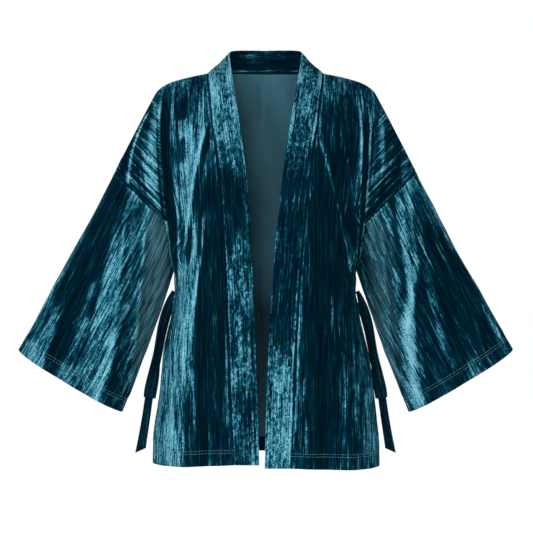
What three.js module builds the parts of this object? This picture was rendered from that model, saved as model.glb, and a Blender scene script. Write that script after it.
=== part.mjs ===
import * as THREE from "three";

// Open-fronted kimono jacket in velvet, filled out as it is worn, with the sleeves hanging from lowered arms.
// Millimetres. +Z is up, -Y is the front, +X is the wearer's left. The origin is midway between the two points
// where the shoulder seams meet the neckband, the level at which the wearer's shoulders carry the jacket.

// Cloth and making
const CLOTH = 1.5; // velvet with its pile
const BAND = 3.2; // neckband, folded double
const TIE = 2.4; // tie strap, a flat tube
const HEM = 28; // turned-up hem of body and sleeves
const HEM_STEP = 1.5; // height over which the hem's second layer ends
const SEAM_HALF = 0.15; // each piece stops this far short of its seam line

// How finely each piece is divided
const BODY_ROWS = 13; // hem to underarm
const ARMHOLE_ROWS = 12; // underarm to shoulder seam
const PANEL_COLUMNS = 16; // front edge or neck point to side seam
const NECK_COLUMNS = 6; // centre back to neck point
const SLEEVE_ROWS = 12; // armhole to cuff
const BAND_COLUMNS = 4; // seam to folded edge
const STRAP_STEPS = 2; // between two rows of a tie's table

// Length and shape of the body
const HEM_Z = -702;
const HEM_DROP = { right: 0, left: 6 }; // the wearer's left front hangs a little lower
const HEM_SIDE_DIP = 8; // the hem hangs lower at the side seams
const NECK_POINT = { x: 105, y: 5, z: 0 };
const SLEEVE_TOP = { x: 275.5, y: 3, z: -180 }; // dropped shoulder point, on top of the arm
const UNDERARM = { x: 148.5, y: 3, z: -306 };
const FULLNESS = 2.35; // superellipse power of a body section
const CORNER_EASE = 4; // how fast the corner at the neck point dies out below the neckline
const EASE_STEPS = 3; // samples to each side when it is eased
const WAIST_PINCH = { z: -399, depth: 4, height: 15, reach: 9 }; // where the ties draw the side seams in
const SQUARE_RISE = 1.8; // how soon above the underarm a body section flattens towards the shoulder line
const BLADE = 1.4; // how far down the back and chest stay full below the shoulder line

// Neckband seam of one front, from hem (at 0) past the underarm level (1) to the shoulder seam (2), then round
// the neck to the centre back (3). The front edges hang a little to the wearer's right, by shift.
const BAND_SEAM = [
  { at: 0.0, x: 51, y: -124, z: -702, shift: -6 },
  { at: 0.5, x: 58, y: -119, z: -516, shift: -6 },
  { at: 1.0, x: 68, y: -120, z: -330, shift: -4 },
  { at: 1.3, x: 77, y: -117, z: -220, shift: -2 },
  { at: 1.47, x: 84, y: -106, z: -160, shift: -1.5 },
  { at: 1.64, x: 93, y: -84, z: -100, shift: -1 },
  { at: 1.83, x: 101, y: -44, z: -38, shift: -0.5 },
  { at: 2.0, x: NECK_POINT.x, y: NECK_POINT.y, z: NECK_POINT.z, shift: 0 },
  { at: 2.25, x: 97, y: 34, z: 4, shift: 0 },
  { at: 2.5, x: 75, y: 54, z: 6, shift: 0 },
  { at: 2.75, x: 40, y: 67, z: 7, shift: 0 },
  { at: 3.0, x: 0, y: 71, z: 7, shift: 0 },
];

// Folded edge of the band, at the same stations.
const BAND_EDGE = [
  { at: 0.0, x: 4.5, y: -124.5, z: -702, shift: -6 },
  { at: 0.5, x: 10.5, y: -119.5, z: -516, shift: -6 },
  { at: 1.0, x: 20.5, y: -121.5, z: -327, shift: -4 },
  { at: 1.3, x: 29.5, y: -118.5, z: -215, shift: -2 },
  { at: 1.47, x: 37, y: -108, z: -153, shift: -1.5 },
  { at: 1.64, x: 46.5, y: -89, z: -91, shift: -1 },
  { at: 1.83, x: 58, y: -56, z: -23, shift: -0.5 },
  { at: 2.0, x: 66, y: 9, z: 29, shift: 0 },
  { at: 2.25, x: 66, y: 38, z: 44.5, shift: 0 },
  { at: 2.5, x: 56, y: 62, z: 50, shift: 0 },
  { at: 2.75, x: 32, y: 80, z: 52, shift: 0 },
  { at: 3.0, x: 0, y: 86, z: 52, shift: 0 },
];

// Centre back, from hem (0) past the underarm level (1) to the neckband (2).
const CENTRE_BACK = [
  { at: 0.0, y: 124, z: -702 },
  { at: 0.5, y: 106, z: -516 },
  { at: 0.78, y: 96, z: -410 },
  { at: 1.0, y: 97, z: -330 },
  { at: 1.35, y: 110, z: -210 },
  { at: 1.65, y: 107, z: -105 },
  { at: 1.85, y: 90, z: -38 },
  { at: 2.0, y: 71, z: 7 },
];

// Half width of the body at its side seams, on the wearer's right and left.
const SIDE_SEAM = [
  { z: -716, right: 206.5, left: 208 },
  { z: -672, right: 204.5, left: 207 },
  { z: -635, right: 200.5, left: 203 },
  { z: -599, right: 195, left: 199 },
  { z: -548, right: 190.5, left: 193 },
  { z: -507, right: 186, left: 186.5 },
  { z: -470, right: 178, left: 177.5 },
  { z: -448, right: 172, left: 172 },
  { z: -410, right: 167, left: 167 },
  { z: -375, right: 165.5, left: 165.5 },
  { z: -345, right: 157.5, left: 157.5 },
  { z: -325, right: 151.5, left: 151.5 },
  { z: UNDERARM.z, right: UNDERARM.x, left: UNDERARM.x },
];

// Shoulder seam from the neck point (at 0) over the shoulder and down the top of the arm to the sleeve (1).
const SHOULDER = [
  { at: 0.0, x: NECK_POINT.x, y: NECK_POINT.y, z: NECK_POINT.z },
  { at: 0.15, x: 140, y: 6, z: -7 },
  { at: 0.29, x: 177, y: 5, z: -18 },
  { at: 0.38, x: 198, y: 4, z: -32 },
  { at: 0.47, x: 210.5, y: 3, z: -54 },
  { at: 0.66, x: 233, y: 3, z: -97 },
  { at: 0.85, x: 258, y: 3, z: -146 },
  { at: 1.0, x: SLEEVE_TOP.x, y: SLEEVE_TOP.y, z: SLEEVE_TOP.z },
];

// Sleeve from armhole (at 0) to cuff (1): the top fold, the underarm seam, and half the depth from front to back.
const SLEEVE = [
  {
    at: 0.0, topX: SLEEVE_TOP.x, topZ: SLEEVE_TOP.z, lowX: UNDERARM.x, lowZ: UNDERARM.z,
    y: SLEEVE_TOP.y, depth: 54,
  },
  { at: 0.33, topX: 334, topZ: -296, lowX: 182, lowZ: -409, y: -2, depth: 51 },
  { at: 0.66, topX: 389.5, topZ: -398, lowX: 218.5, lowZ: -513, y: -7, depth: 47 },
  { at: 1.0, topX: 450, topZ: -505, lowX: 260.5, lowZ: -619, y: -12, depth: 43 },
];
const SLEEVE_LENGTH = 366;
const SLEEVE_TAPER = 0.35; // the sleeve is this much shallower at its underarm seam than over the arm
const TOP_ROUND = 0.9; // power of the sleeve's section, round over the arm
const SEAM_ROUND = 1.5; // and drawn out towards the underarm seam
const CUFF_BOW = { out: 2, down: 3.5 }; // the cuff's edge bows along the arm between its two folds

// How fast folds grow from nothing beside the seams of a piece, as multiples of its width or height.
const BESIDE = { frontEdge: 5, sideSeam: 7, shoulder: 5, armhole: 9, sleeveFolds: 3 };

// Folds. Each runs down from z = top to z = foot, at x = x0, x1 and x2 at its top, middle and foot, and stands
// out by push, or sinks where push is negative, while its crest moves sideways by lean. left and right are the
// widths of its two flanks, and fade is the length over which its ends die away.
const FRONT_FOLDS = [
  { x0: -186, x1: -180, x2: -168, top: -50, foot: -372, push: 14, lean: -3, left: 15, right: 20, fade: 70 },
  { x0: -162, x1: -152, x2: -146, top: -60, foot: -420, push: -7, lean: 0, left: 16, right: 18, fade: 90 },
  { x0: -108, x1: -128, x2: -134, top: -80, foot: -330, push: 6, lean: 0, left: 18, right: 18, fade: 80 },
  { x0: -130, x1: -140, x2: -142, top: -330, foot: -780, push: 8, lean: 0, left: 17, right: 17, fade: 110 },
  { x0: -106, x1: -102, x2: -94, top: -200, foot: -780, push: -7, lean: 0, left: 17, right: 17, fade: 110 },
  { x0: 174, x1: 170, x2: 160, top: -50, foot: -372, push: 12, lean: 3, left: 18, right: 15, fade: 70 },
  { x0: 206, x1: 200, x2: 186, top: -80, foot: -330, push: 8, lean: 3, left: 14, right: 14, fade: 70 },
  { x0: 92, x1: 122, x2: 140, top: -90, foot: -350, push: 6, lean: 0, left: 18, right: 18, fade: 80 },
  { x0: 136, x1: 148, x2: 156, top: -330, foot: -780, push: 8, lean: 0, left: 17, right: 17, fade: 110 },
  { x0: 98, x1: 104, x2: 108, top: -230, foot: -780, push: -7, lean: 0, left: 18, right: 18, fade: 110 },
];
const BACK_FOLDS = [
  { x0: -184, x1: -178, x2: -162, top: -60, foot: -372, push: 10, lean: 0, left: 19, right: 22, fade: 70 },
  { x0: -118, x1: -124, x2: -132, top: -210, foot: -780, push: 8, lean: 0, left: 18, right: 18, fade: 110 },
  { x0: -78, x1: -84, x2: -90, top: -300, foot: -780, push: -6, lean: 0, left: 18, right: 18, fade: 110 },
  { x0: -28, x1: -34, x2: -42, top: -260, foot: -780, push: 6, lean: 0, left: 19, right: 19, fade: 120 },
  { x0: 22, x1: 18, x2: 12, top: -330, foot: -780, push: -5, lean: 0, left: 18, right: 18, fade: 120 },
  { x0: 62, x1: 66, x2: 72, top: -240, foot: -780, push: 7, lean: 0, left: 18, right: 18, fade: 110 },
  { x0: 104, x1: 110, x2: 116, top: -290, foot: -780, push: -6, lean: 0, left: 17, right: 17, fade: 110 },
  { x0: 146, x1: 152, x2: 160, top: -330, foot: -780, push: 7, lean: 0, left: 15, right: 15, fade: 100 },
  { x0: 186, x1: 180, x2: 164, top: -60, foot: -372, push: 10, lean: 0, left: 22, right: 19, fade: 70 },
];
const SLEEVE_FRONT_FOLDS = [
  { x0: -252, x1: -276, x2: -304, top: -190, foot: -680, push: 8, lean: 0, left: 22, right: 22, fade: 90 },
  { x0: -292, x1: -342, x2: -390, top: -200, foot: -640, push: -6, lean: 0, left: 24, right: 22, fade: 90 },
  { x0: 252, x1: 272, x2: 296, top: -190, foot: -680, push: 8, lean: 0, left: 22, right: 22, fade: 90 },
  { x0: 294, x1: 338, x2: 384, top: -200, foot: -640, push: -6, lean: 0, left: 22, right: 24, fade: 90 },
];
const SLEEVE_BACK_FOLDS = [
  { x0: -240, x1: -270, x2: -306, top: -190, foot: -680, push: 8, lean: 0, left: 22, right: 22, fade: 90 },
  { x0: -286, x1: -330, x2: -382, top: -220, foot: -640, push: -6, lean: 0, left: 22, right: 22, fade: 90 },
  { x0: 242, x1: 274, x2: 312, top: -190, foot: -680, push: 8, lean: 0, left: 22, right: 22, fade: 90 },
  { x0: 290, x1: 332, x2: 386, top: -220, foot: -640, push: -6, lean: 0, left: 22, right: 22, fade: 90 },
];

// Half-bow ties caught in the side seams at the waist: a loop that hangs outside the hip, and a tail behind it.
// side is the distance out from the centre, wide the strap's width, and turn its twist in degrees from facing front.
const TIE_LOOP = [
  { side: 168.1, y: 3, z: -399, wide: 7, turn: 0 },
  { side: 171.4, y: 2, z: -406, wide: 9, turn: 4 },
  { side: 174.6, y: 0.5, z: -415, wide: 12.5, turn: 12 },
  { side: 181.5, y: -2, z: -435, wide: 17.5, turn: 28 },
  { side: 188, y: -3, z: -459, wide: 20, turn: 38 },
  { side: 194, y: -4, z: -487, wide: 21, turn: 52 },
  { side: 197.5, y: -5, z: -510, wide: 21, turn: 50 },
  { side: 201, y: -6, z: -531, wide: 21.5, turn: 40 },
  { side: 204.5, y: -6, z: -553, wide: 22.5, turn: 20 },
  { side: 209, y: -5, z: -576, wide: 23.5, turn: 4 },
  { side: 211, y: -4, z: -587, wide: 23, turn: 0 },
  { side: 212, y: 0, z: -593, wide: 22, turn: 0 },
  { side: 212, y: 4.5, z: -593.5, wide: 22, turn: 0 },
  { side: 211.5, y: 8.5, z: -589, wide: 22, turn: 0 },
  { side: 209, y: 10, z: -576, wide: 21, turn: -8 },
  { side: 203.5, y: 10.5, z: -549, wide: 17, turn: -40 },
  { side: 197.2, y: 10.5, z: -520, wide: 13, turn: -68 },
  { side: 190.2, y: 10.5, z: -491, wide: 10, turn: -78 },
  { side: 184.3, y: 9.5, z: -470, wide: 8.5, turn: -82 },
  { side: 179.9, y: 9, z: -455, wide: 8, turn: -84 },
];
const TIE_TAIL = [
  { side: 170.1, y: 19, z: -421, wide: 12, turn: -80 },
  { side: 177, y: 21, z: -445, wide: 13, turn: -70 },
  { side: 188, y: 23, z: -480, wide: 14, turn: -50 },
  { side: 199, y: 23, z: -525, wide: 15, turn: -25 },
  { side: 208, y: 21, z: -565, wide: 15, turn: -10 },
  { side: 214.5, y: 19, z: -595, wide: 15, turn: 0 },
  { side: 219.5, y: 16, z: -630, wide: 15.5, turn: 0 },
  { side: 225, y: 13, z: -665, wide: 16.5, turn: 0 },
  { side: 229.5, y: 11, z: -692, wide: 18, turn: 0 },
];
const TAIL_SLANT = 12; // the free end is cut at a slant, longer on its outer edge

const VELVET = { color: 0x1b5061, roughness: 0.85, metalness: 0 };
const BAND_VELVET = { color: 0x245f72, roughness: 0.85, metalness: 0 };
const TIE_VELVET = { color: 0x06222f, roughness: 0.9, metalness: 0 };

const mix = (a, b, share) => a + (b - a) * share;
const clamp01 = (value) => Math.min(1, Math.max(0, value));
const ease = (value) => clamp01(value) ** 2 * (3 - 2 * clamp01(value));

// Value of one column of a table at a key, by a cubic through the rows whose slopes are those of its neighbours.
function read(table, key, column, where) {
  const last = table.length - 1;
  const at = Math.min(Math.max(where, table[0][key]), table[last][key]);
  let row = 0;
  while (row < last - 1 && at > table[row + 1][key]) row++;
  const slope = (r) => {
    const before = table[Math.max(r - 1, 0)];
    const after = table[Math.min(r + 1, last)];
    return (after[column] - before[column]) / (after[key] - before[key]);
  };
  const [a, b] = [table[row], table[row + 1]];
  const span = b[key] - a[key];
  const t = (at - a[key]) / span;
  const rise = t * t * (3 - 2 * t);
  return (
    mix(a[column], b[column], rise) +
    span * (t * (1 - t) ** 2 * slope(row) - t * t * (1 - t) * slope(row + 1))
  );
}

// Points of the seams. sign is -1 on the wearer's right and +1 on the wearer's left.
function bandPoint(table, at, sign) {
  const drop = sign > 0 ? HEM_DROP.left : HEM_DROP.right;
  return new THREE.Vector3(
    sign * read(table, "at", "x", at) + read(table, "at", "shift", at),
    read(table, "at", "y", at),
    read(table, "at", "z", at) - drop * clamp01(1 - at),
  );
}

function sideSeamPoint(at, sign) {
  const drop = (sign > 0 ? HEM_DROP.left : HEM_DROP.right) + HEM_SIDE_DIP;
  const z = mix(HEM_Z - drop, UNDERARM.z, at);
  return new THREE.Vector3(sign * read(SIDE_SEAM, "z", sign > 0 ? "left" : "right", z), UNDERARM.y, z);
}

function shoulderPoint(at, sign) {
  return new THREE.Vector3(
    sign * read(SHOULDER, "at", "x", at),
    read(SHOULDER, "at", "y", at),
    read(SHOULDER, "at", "z", at),
  );
}

// A point of the sleeve at a share of its length, and at an angle round it: 0 on the top fold, a half turn at the
// underarm seam. facing is -1 on the front and +1 on the back.
function sleevePoint(at, angle, facing, sign) {
  const across = (1 - Math.cos(angle)) / 2;
  const depth = read(SLEEVE, "at", "depth", at) * (1 - SLEEVE_TAPER * across);
  const bow = Math.sin(angle) * ease(at);
  return new THREE.Vector3(
    sign * (mix(read(SLEEVE, "at", "topX", at), read(SLEEVE, "at", "lowX", at), across) + CUFF_BOW.out * bow),
    read(SLEEVE, "at", "y", at) + facing * depth * Math.sin(angle) ** mix(TOP_ROUND, SEAM_ROUND, across),
    mix(read(SLEEVE, "at", "topZ", at), read(SLEEVE, "at", "lowZ", at), across) - CUFF_BOW.down * bow,
  );
}

function armholePoint(at, facing, sign) {
  return sleevePoint(0, Math.PI * (2 - at), facing, sign);
}

// Rows of a body panel: the hem's edge and step, the body up to the underarm (1), and the armhole up to 2.
function bodyRows() {
  const long = UNDERARM.z - HEM_Z;
  const hem = [0, HEM / 2 / long, HEM / long, (HEM + HEM_STEP) / long];
  const first = hem[hem.length - 1];
  const rows = [...hem];
  for (let i = 1; i <= BODY_ROWS; i++) rows.push(mix(first, 1, i / BODY_ROWS));
  for (let i = 1; i <= ARMHOLE_ROWS; i++) rows.push(1 + i / ARMHOLE_ROWS);
  return rows;
}

// The line that ends a panel at the top, with its corner at the neck point eased out over a spread of the line.
function easedTop(top, across, spread) {
  const reach = Math.min(1, spread * CORNER_EASE) * Math.min(across, 1 - across);
  const sum = new THREE.Vector3();
  for (let step = -EASE_STEPS; step <= EASE_STEPS; step++) sum.add(top(across + (reach * step) / EASE_STEPS));
  return sum.divideScalar(2 * EASE_STEPS + 1);
}

// One point of a body panel between its inner line (a front edge or the centre back) and its side seam or armhole,
// at a share across. Above the underarm the rows bend towards the shoulder seam and the neckline.
function panelPoint(inner, outer, top, across, at) {
  const rise = clamp01(at - 1);
  const open = ease(rise * SQUARE_RISE);
  const angle = (across * Math.PI) / 2;
  const level = (1 + Math.cos(Math.PI * across)) / 2;
  const wide = mix(Math.sin(angle) ** (2 / FULLNESS), across, open);
  const deep = mix(Math.cos(angle) ** (2 / FULLNESS), level, open);
  const [from, to] = [inner(at), outer(at)];
  const point = new THREE.Vector3(mix(from.x, to.x, wide), mix(to.y, from.y, deep), mix(from.z, to.z, wide));
  if (rise > 0) {
    const [neck, arm] = [inner(2), outer(2)];
    const turn = (Math.PI * (2 - at)) / 2;
    const upright = Math.cos(turn) ** 2;
    const forward = (1 - Math.sin(turn)) ** BLADE;
    const end = easedTop(top, across, 1 - rise);
    point.x += upright * (end.x - mix(neck.x, arm.x, across));
    point.y += forward * (end.y - mix(arm.y, neck.y, level));
    point.z += upright * (end.z - mix(neck.z, arm.z, across));
  }
  const pinch = WAIST_PINCH.depth * Math.exp(-(((point.z - WAIST_PINCH.z) / WAIST_PINCH.height) ** 2));
  point.x -= Math.sign(point.x) * pinch * across ** WAIST_PINCH.reach;
  return point;
}

// Moves a point with the folds that pass it. facing is -1 on the front and +1 on the back, hold is 0 on a seam.
function fold(point, folds, facing, hold) {
  const moved = point.clone();
  for (const f of folds) {
    if (point.z > f.top || point.z < f.foot) continue;
    const down = (f.top - point.z) / (f.top - f.foot);
    const x = f.x0 * (1 - down) * (1 - 2 * down) + 4 * f.x1 * down * (1 - down) + f.x2 * down * (2 * down - 1);
    const off = point.x - x;
    const flank = off < 0 ? f.left : f.right;
    const ends = ease((f.top - point.z) / f.fade) * ease((point.z - f.foot) / f.fade);
    const strength = Math.exp(-((off / flank) ** 2)) * ends * hold;
    moved.x += f.lean * strength;
    moved.y += facing * f.push * strength;
  }
  return moved;
}

// Pieces as grids of points on their outer face. Each says which of its edges are seams, how its faces turn so that
// they point out, whether its columns close on themselves, and how thick the cloth is at a row.
function frontPanel(side) {
  const sign = side === "left" ? 1 : -1;
  const rows = bodyRows();
  const grid = rows.map((at) => {
    const points = [];
    for (let c = 0; c <= PANEL_COLUMNS; c++) {
      const across = c / PANEL_COLUMNS;
      const point = panelPoint(
        (v) => bandPoint(BAND_SEAM, v, sign),
        (v) => (v < 1 ? sideSeamPoint(v, sign) : armholePoint(v, -1, sign)),
        (share) => shoulderPoint(share, sign),
        across,
        at,
      );
      const edge = ease(across * BESIDE.frontEdge);
      const hold = edge * ease((1 - across) * BESIDE.sideSeam) * ease((2 - at) * BESIDE.shoulder);
      points.push(fold(point, FRONT_FOLDS, -1, hold));
    }
    return points;
  });
  return {
    name: `front_${side}`,
    grid,
    flip: sign < 0,
    seams: { firstColumn: true, lastColumn: true, lastRow: true },
    thick: (row) => (row <= 2 ? 2 * CLOTH : CLOTH),
    finish: VELVET,
  };
}

function backPanel() {
  const half = NECK_COLUMNS + PANEL_COLUMNS;
  const neck = NECK_COLUMNS / half;
  const rows = bodyRows();
  const grid = rows.map((at) => {
    const points = [];
    for (let c = -half; c <= half; c++) {
      const sign = c < 0 ? -1 : 1;
      const across = Math.abs(c) / half;
      const point = panelPoint(
        (v) => new THREE.Vector3(
          0,
          read(CENTRE_BACK, "at", "y", v),
          read(CENTRE_BACK, "at", "z", v) - clamp01(1 - v) * ((HEM_DROP.left + HEM_DROP.right) / 2),
        ),
        (v) => (v < 1 ? sideSeamPoint(v, sign) : armholePoint(v, 1, sign)),
        (share) =>
          share < neck
            ? bandPoint(BAND_SEAM, 3 - share / neck, sign)
            : shoulderPoint((share - neck) / (1 - neck), sign),
        across,
        at,
      );
      const hold = ease((1 - across) * BESIDE.sideSeam) * ease((2 - at) * BESIDE.shoulder);
      points.push(fold(point, BACK_FOLDS, 1, hold));
    }
    return points;
  });
  return {
    name: "back",
    grid,
    flip: true,
    seams: { firstColumn: true, lastColumn: true, lastRow: true },
    thick: (row) => (row <= 2 ? 2 * CLOTH : CLOTH),
    finish: VELVET,
  };
}

function sleeve(side) {
  const sign = side === "left" ? 1 : -1;
  const long = 1 - HEM / SLEEVE_LENGTH;
  const stations = [];
  for (let i = 0; i <= SLEEVE_ROWS; i++) stations.push((long * i) / SLEEVE_ROWS);
  stations.push(long + HEM_STEP / SLEEVE_LENGTH, mix(long, 1, 0.5), 1);
  const grid = stations.map((at) => {
    const points = [];
    for (let c = 0; c < 2 * ARMHOLE_ROWS; c++) {
      const turn = (Math.PI * c) / ARMHOLE_ROWS;
      const facing = turn <= Math.PI ? -1 : 1;
      const angle = turn <= Math.PI ? turn : 2 * Math.PI - turn;
      const point = sleevePoint(at, angle, facing, sign);
      const folds = facing < 0 ? SLEEVE_FRONT_FOLDS : SLEEVE_BACK_FOLDS;
      const hold = ease(at * BESIDE.armhole) * ease(Math.sin(angle) * BESIDE.sleeveFolds);
      points.push(fold(point, folds, facing, hold));
    }
    return points;
  });
  return {
    name: `sleeve_${side}`,
    grid,
    flip: sign < 0,
    closed: true,
    seams: { firstRow: true },
    thick: (row) => (row > SLEEVE_ROWS ? 2 * CLOTH : CLOTH),
    finish: VELVET,
  };
}

function neckband(side) {
  const sign = side === "left" ? 1 : -1;
  const stations = [...bodyRows()];
  for (let i = 1; i <= NECK_COLUMNS; i++) stations.push(2 + i / NECK_COLUMNS);
  const grid = stations.map((at) => {
    const seam = bandPoint(BAND_SEAM, at, sign);
    const edge = bandPoint(BAND_EDGE, at, sign);
    const points = [];
    for (let c = 0; c <= BAND_COLUMNS; c++) points.push(seam.clone().lerp(edge, c / BAND_COLUMNS));
    return points;
  });
  return {
    name: `neckband_${side}`,
    grid,
    flip: sign > 0,
    seams: { firstColumn: true, lastRow: true },
    thick: () => BAND,
    finish: BAND_VELVET,
  };
}

// Outward normals of a grid from the lines to its neighbours.
function gridNormals(piece) {
  const { grid, flip, closed } = piece;
  const rows = grid.length;
  const columns = grid[0].length;
  return grid.map((line, r) =>
    line.map((_, c) => {
      const left = closed ? (c + columns - 1) % columns : Math.max(c - 1, 0);
      const right = closed ? (c + 1) % columns : Math.min(c + 1, columns - 1);
      const across = line[right].clone().sub(line[left]);
      const along = grid[Math.min(r + 1, rows - 1)][c].clone().sub(grid[Math.max(r - 1, 0)][c]);
      return across.cross(along).normalize().multiplyScalar(flip ? -1 : 1);
    }),
  );
}

const keyOf = (point) => [point.x, point.y, point.z].map((v) => Math.round(v * 20)).join(",");

// Gives the points that pieces share along a seam one common normal, so that their edges stay parallel.
function joinNormals(pieces) {
  const sums = new Map();
  for (const piece of pieces) {
    piece.normals = gridNormals(piece);
    piece.grid.forEach((line, r) => line.forEach((point, c) => {
      const key = keyOf(point);
      sums.set(key, (sums.get(key) ?? new THREE.Vector3()).add(piece.normals[r][c]));
    }));
  }
  for (const piece of pieces) {
    piece.normals = piece.grid.map((line) => line.map((point) => sums.get(keyOf(point)).clone().normalize()));
  }
}

// Draws a piece back from its seam lines, so that it stays clear of the pieces it is sewn to.
function drawBack(piece) {
  const { grid, seams, closed } = piece;
  const rows = grid.length - 1;
  const columns = grid[0].length - 1;
  const shifts = grid.map((line) => line.map(() => new THREE.Vector3()));
  const shift = (r, c, inside, before, after) => {
    const along = after.clone().sub(before);
    const away = along.cross(piece.normals[r][c]).setLength(SEAM_HALF);
    const towards = inside.clone().sub(grid[r][c]);
    shifts[r][c].addScaledVector(away, away.dot(towards) < 0 ? -1 : 1);
  };
  const within = (value, most) => Math.min(Math.max(value, 0), most);
  const beside = (line, c) => line[closed ? (c + columns + 1) % (columns + 1) : within(c, columns)];
  const above = (r, c) => grid[within(r, rows)][c];
  for (let c = 0; c <= columns; c++) {
    if (seams.firstRow) shift(0, c, grid[1][c], beside(grid[0], c - 1), beside(grid[0], c + 1));
    if (seams.lastRow) shift(rows, c, grid[rows - 1][c], beside(grid[rows], c - 1), beside(grid[rows], c + 1));
  }
  for (let r = 0; r <= rows; r++) {
    if (seams.firstColumn) shift(r, 0, grid[r][1], above(r - 1, 0), above(r + 1, 0));
    if (seams.lastColumn) shift(r, columns, grid[r][columns - 1], above(r - 1, columns), above(r + 1, columns));
  }
  return grid.map((line, r) => line.map((point, c) => point.clone().add(shifts[r][c])));
}

function meshOf(name, positions, faces, finish) {
  const geometry = new THREE.BufferGeometry();
  const numbers = positions.flatMap((point) => [point.x, point.y, point.z]);
  geometry.setAttribute("position", new THREE.Float32BufferAttribute(numbers, 3));
  geometry.setIndex(faces);
  geometry.computeVertexNormals();
  const mesh = new THREE.Mesh(geometry, new THREE.MeshStandardMaterial(finish));
  mesh.name = name;
  return mesh;
}

// Closed wall of a piece: its outer face, an inner face a cloth's thickness behind it, and the edges between.
function wall(piece) {
  const outer = drawBack(piece);
  const rows = outer.length;
  const columns = outer[0].length;
  const inner = outer.map((line, r) =>
    line.map((point, c) => point.clone().addScaledVector(piece.normals[r][c], -piece.thick(r))),
  );
  const faces = [];
  const points = [...outer.flat(), ...inner.flat()];
  const quad = (a, b, c, d, turned = false) => {
    const [e, f, g, h] = turned ? [b, c, d, a] : [a, b, c, d];
    faces.push(...(piece.flip ? [e, g, f, e, h, g] : [e, f, g, e, g, h]));
  };
  const out = (r, c) => r * columns + (c % columns);
  const back = (r, c) => rows * columns + out(r, c);
  const spans = piece.closed ? columns : columns - 1;
  for (let r = 0; r < rows - 1; r++) {
    for (let c = 0; c < spans; c++) {
      const corners = [out(r, c), out(r, c + 1), out(r + 1, c + 1), out(r + 1, c)];
      const [p, q, s, t] = corners.map((corner) => points[corner]);
      const turned = p.distanceTo(s) > q.distanceTo(t);
      quad(...corners, turned);
      quad(back(r, c), back(r + 1, c), back(r + 1, c + 1), back(r, c + 1), turned);
    }
  }
  for (let c = 0; c < spans; c++) {
    quad(out(0, c), back(0, c), back(0, c + 1), out(0, c + 1));
    quad(out(rows - 1, c), out(rows - 1, c + 1), back(rows - 1, c + 1), back(rows - 1, c));
  }
  if (!piece.closed) {
    for (let r = 0; r < rows - 1; r++) {
      quad(out(r, 0), out(r + 1, 0), back(r + 1, 0), back(r, 0));
      quad(out(r, spans), back(r, spans), back(r + 1, spans), out(r + 1, spans));
    }
  }
  return meshOf(piece.name, points, faces, piece.finish);
}

// Flat strap through the rows of a table: eight-sided sections with rounded edges, turned about the strap's own line.
function strap(name, table, side, slant) {
  const sign = side === "left" ? 1 : -1;
  const numbered = table.map((row, at) => ({ ...row, at }));
  const rows = [];
  for (let i = 0; i <= (table.length - 1) * STRAP_STEPS; i++) {
    const value = (column) => read(numbered, "at", column, i / STRAP_STEPS);
    rows.push({ side: value("side"), y: value("y"), z: value("z"), wide: value("wide"), turn: value("turn") });
  }
  const line = rows.map((row) => new THREE.Vector3(sign * row.side, row.y, row.z));
  const section = [
    [-0.5, -0.2], [-0.42, -0.5], [0.42, -0.5], [0.5, -0.2],
    [0.5, 0.2], [0.42, 0.5], [-0.42, 0.5], [-0.5, 0.2],
  ];
  const positions = [];
  let facing = new THREE.Vector3(0, -1, 0);
  rows.forEach((row, i) => {
    const before = line[Math.max(i - 1, 0)];
    const along = line[Math.min(i + 1, line.length - 1)].clone().sub(before).normalize();
    facing = facing.clone().addScaledVector(along, -facing.dot(along)).normalize();
    const through = facing.clone().applyAxisAngle(along, (sign * row.turn * Math.PI) / 180);
    const across = through.clone().cross(along);
    const end = i === line.length - 1 ? slant : 0;
    for (const [w, t] of section) {
      positions.push(
        line[i].clone()
          .addScaledVector(across, w * row.wide)
          .addScaledVector(through, t * TIE)
          .addScaledVector(along, sign * w * end),
      );
    }
  });
  const sides = section.length;
  const faces = [];
  for (let i = 0; i < line.length - 1; i++) {
    for (let k = 0; k < sides; k++) {
      const [a, b] = [i * sides + k, i * sides + ((k + 1) % sides)];
      faces.push(a, b, b + sides, a, b + sides, a + sides);
    }
  }
  const last = (line.length - 1) * sides;
  for (let k = 1; k < sides - 1; k++) {
    faces.push(0, k + 1, k);
    faces.push(last, last + k, last + k + 1);
  }
  return meshOf(name, positions, faces, TIE_VELVET);
}

const pieces = [
  frontPanel("right"), frontPanel("left"), backPanel(),
  sleeve("right"), sleeve("left"),
  neckband("right"), neckband("left"),
];
joinNormals(pieces);

const jacket = new THREE.Group();
jacket.name = "kimono_jacket";
for (const piece of pieces) jacket.add(wall(piece));
for (const side of ["right", "left"]) {
  jacket.add(strap(`tie_loop_${side}`, TIE_LOOP, side, 0));
  jacket.add(strap(`tie_tail_${side}`, TIE_TAIL, side, TAIL_SLANT));
}

export default jacket;
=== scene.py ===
# Open-fronted kimono jacket in teal crushed velvet, filled out as it is worn: the finish of its cloth,
# seams, hems, stitches and ties. Forms are worked out in millimetres and made in metres.
import math
from dataclasses import dataclass
from functools import partial
import bpy
import numpy as np
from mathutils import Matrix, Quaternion, Vector


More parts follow.
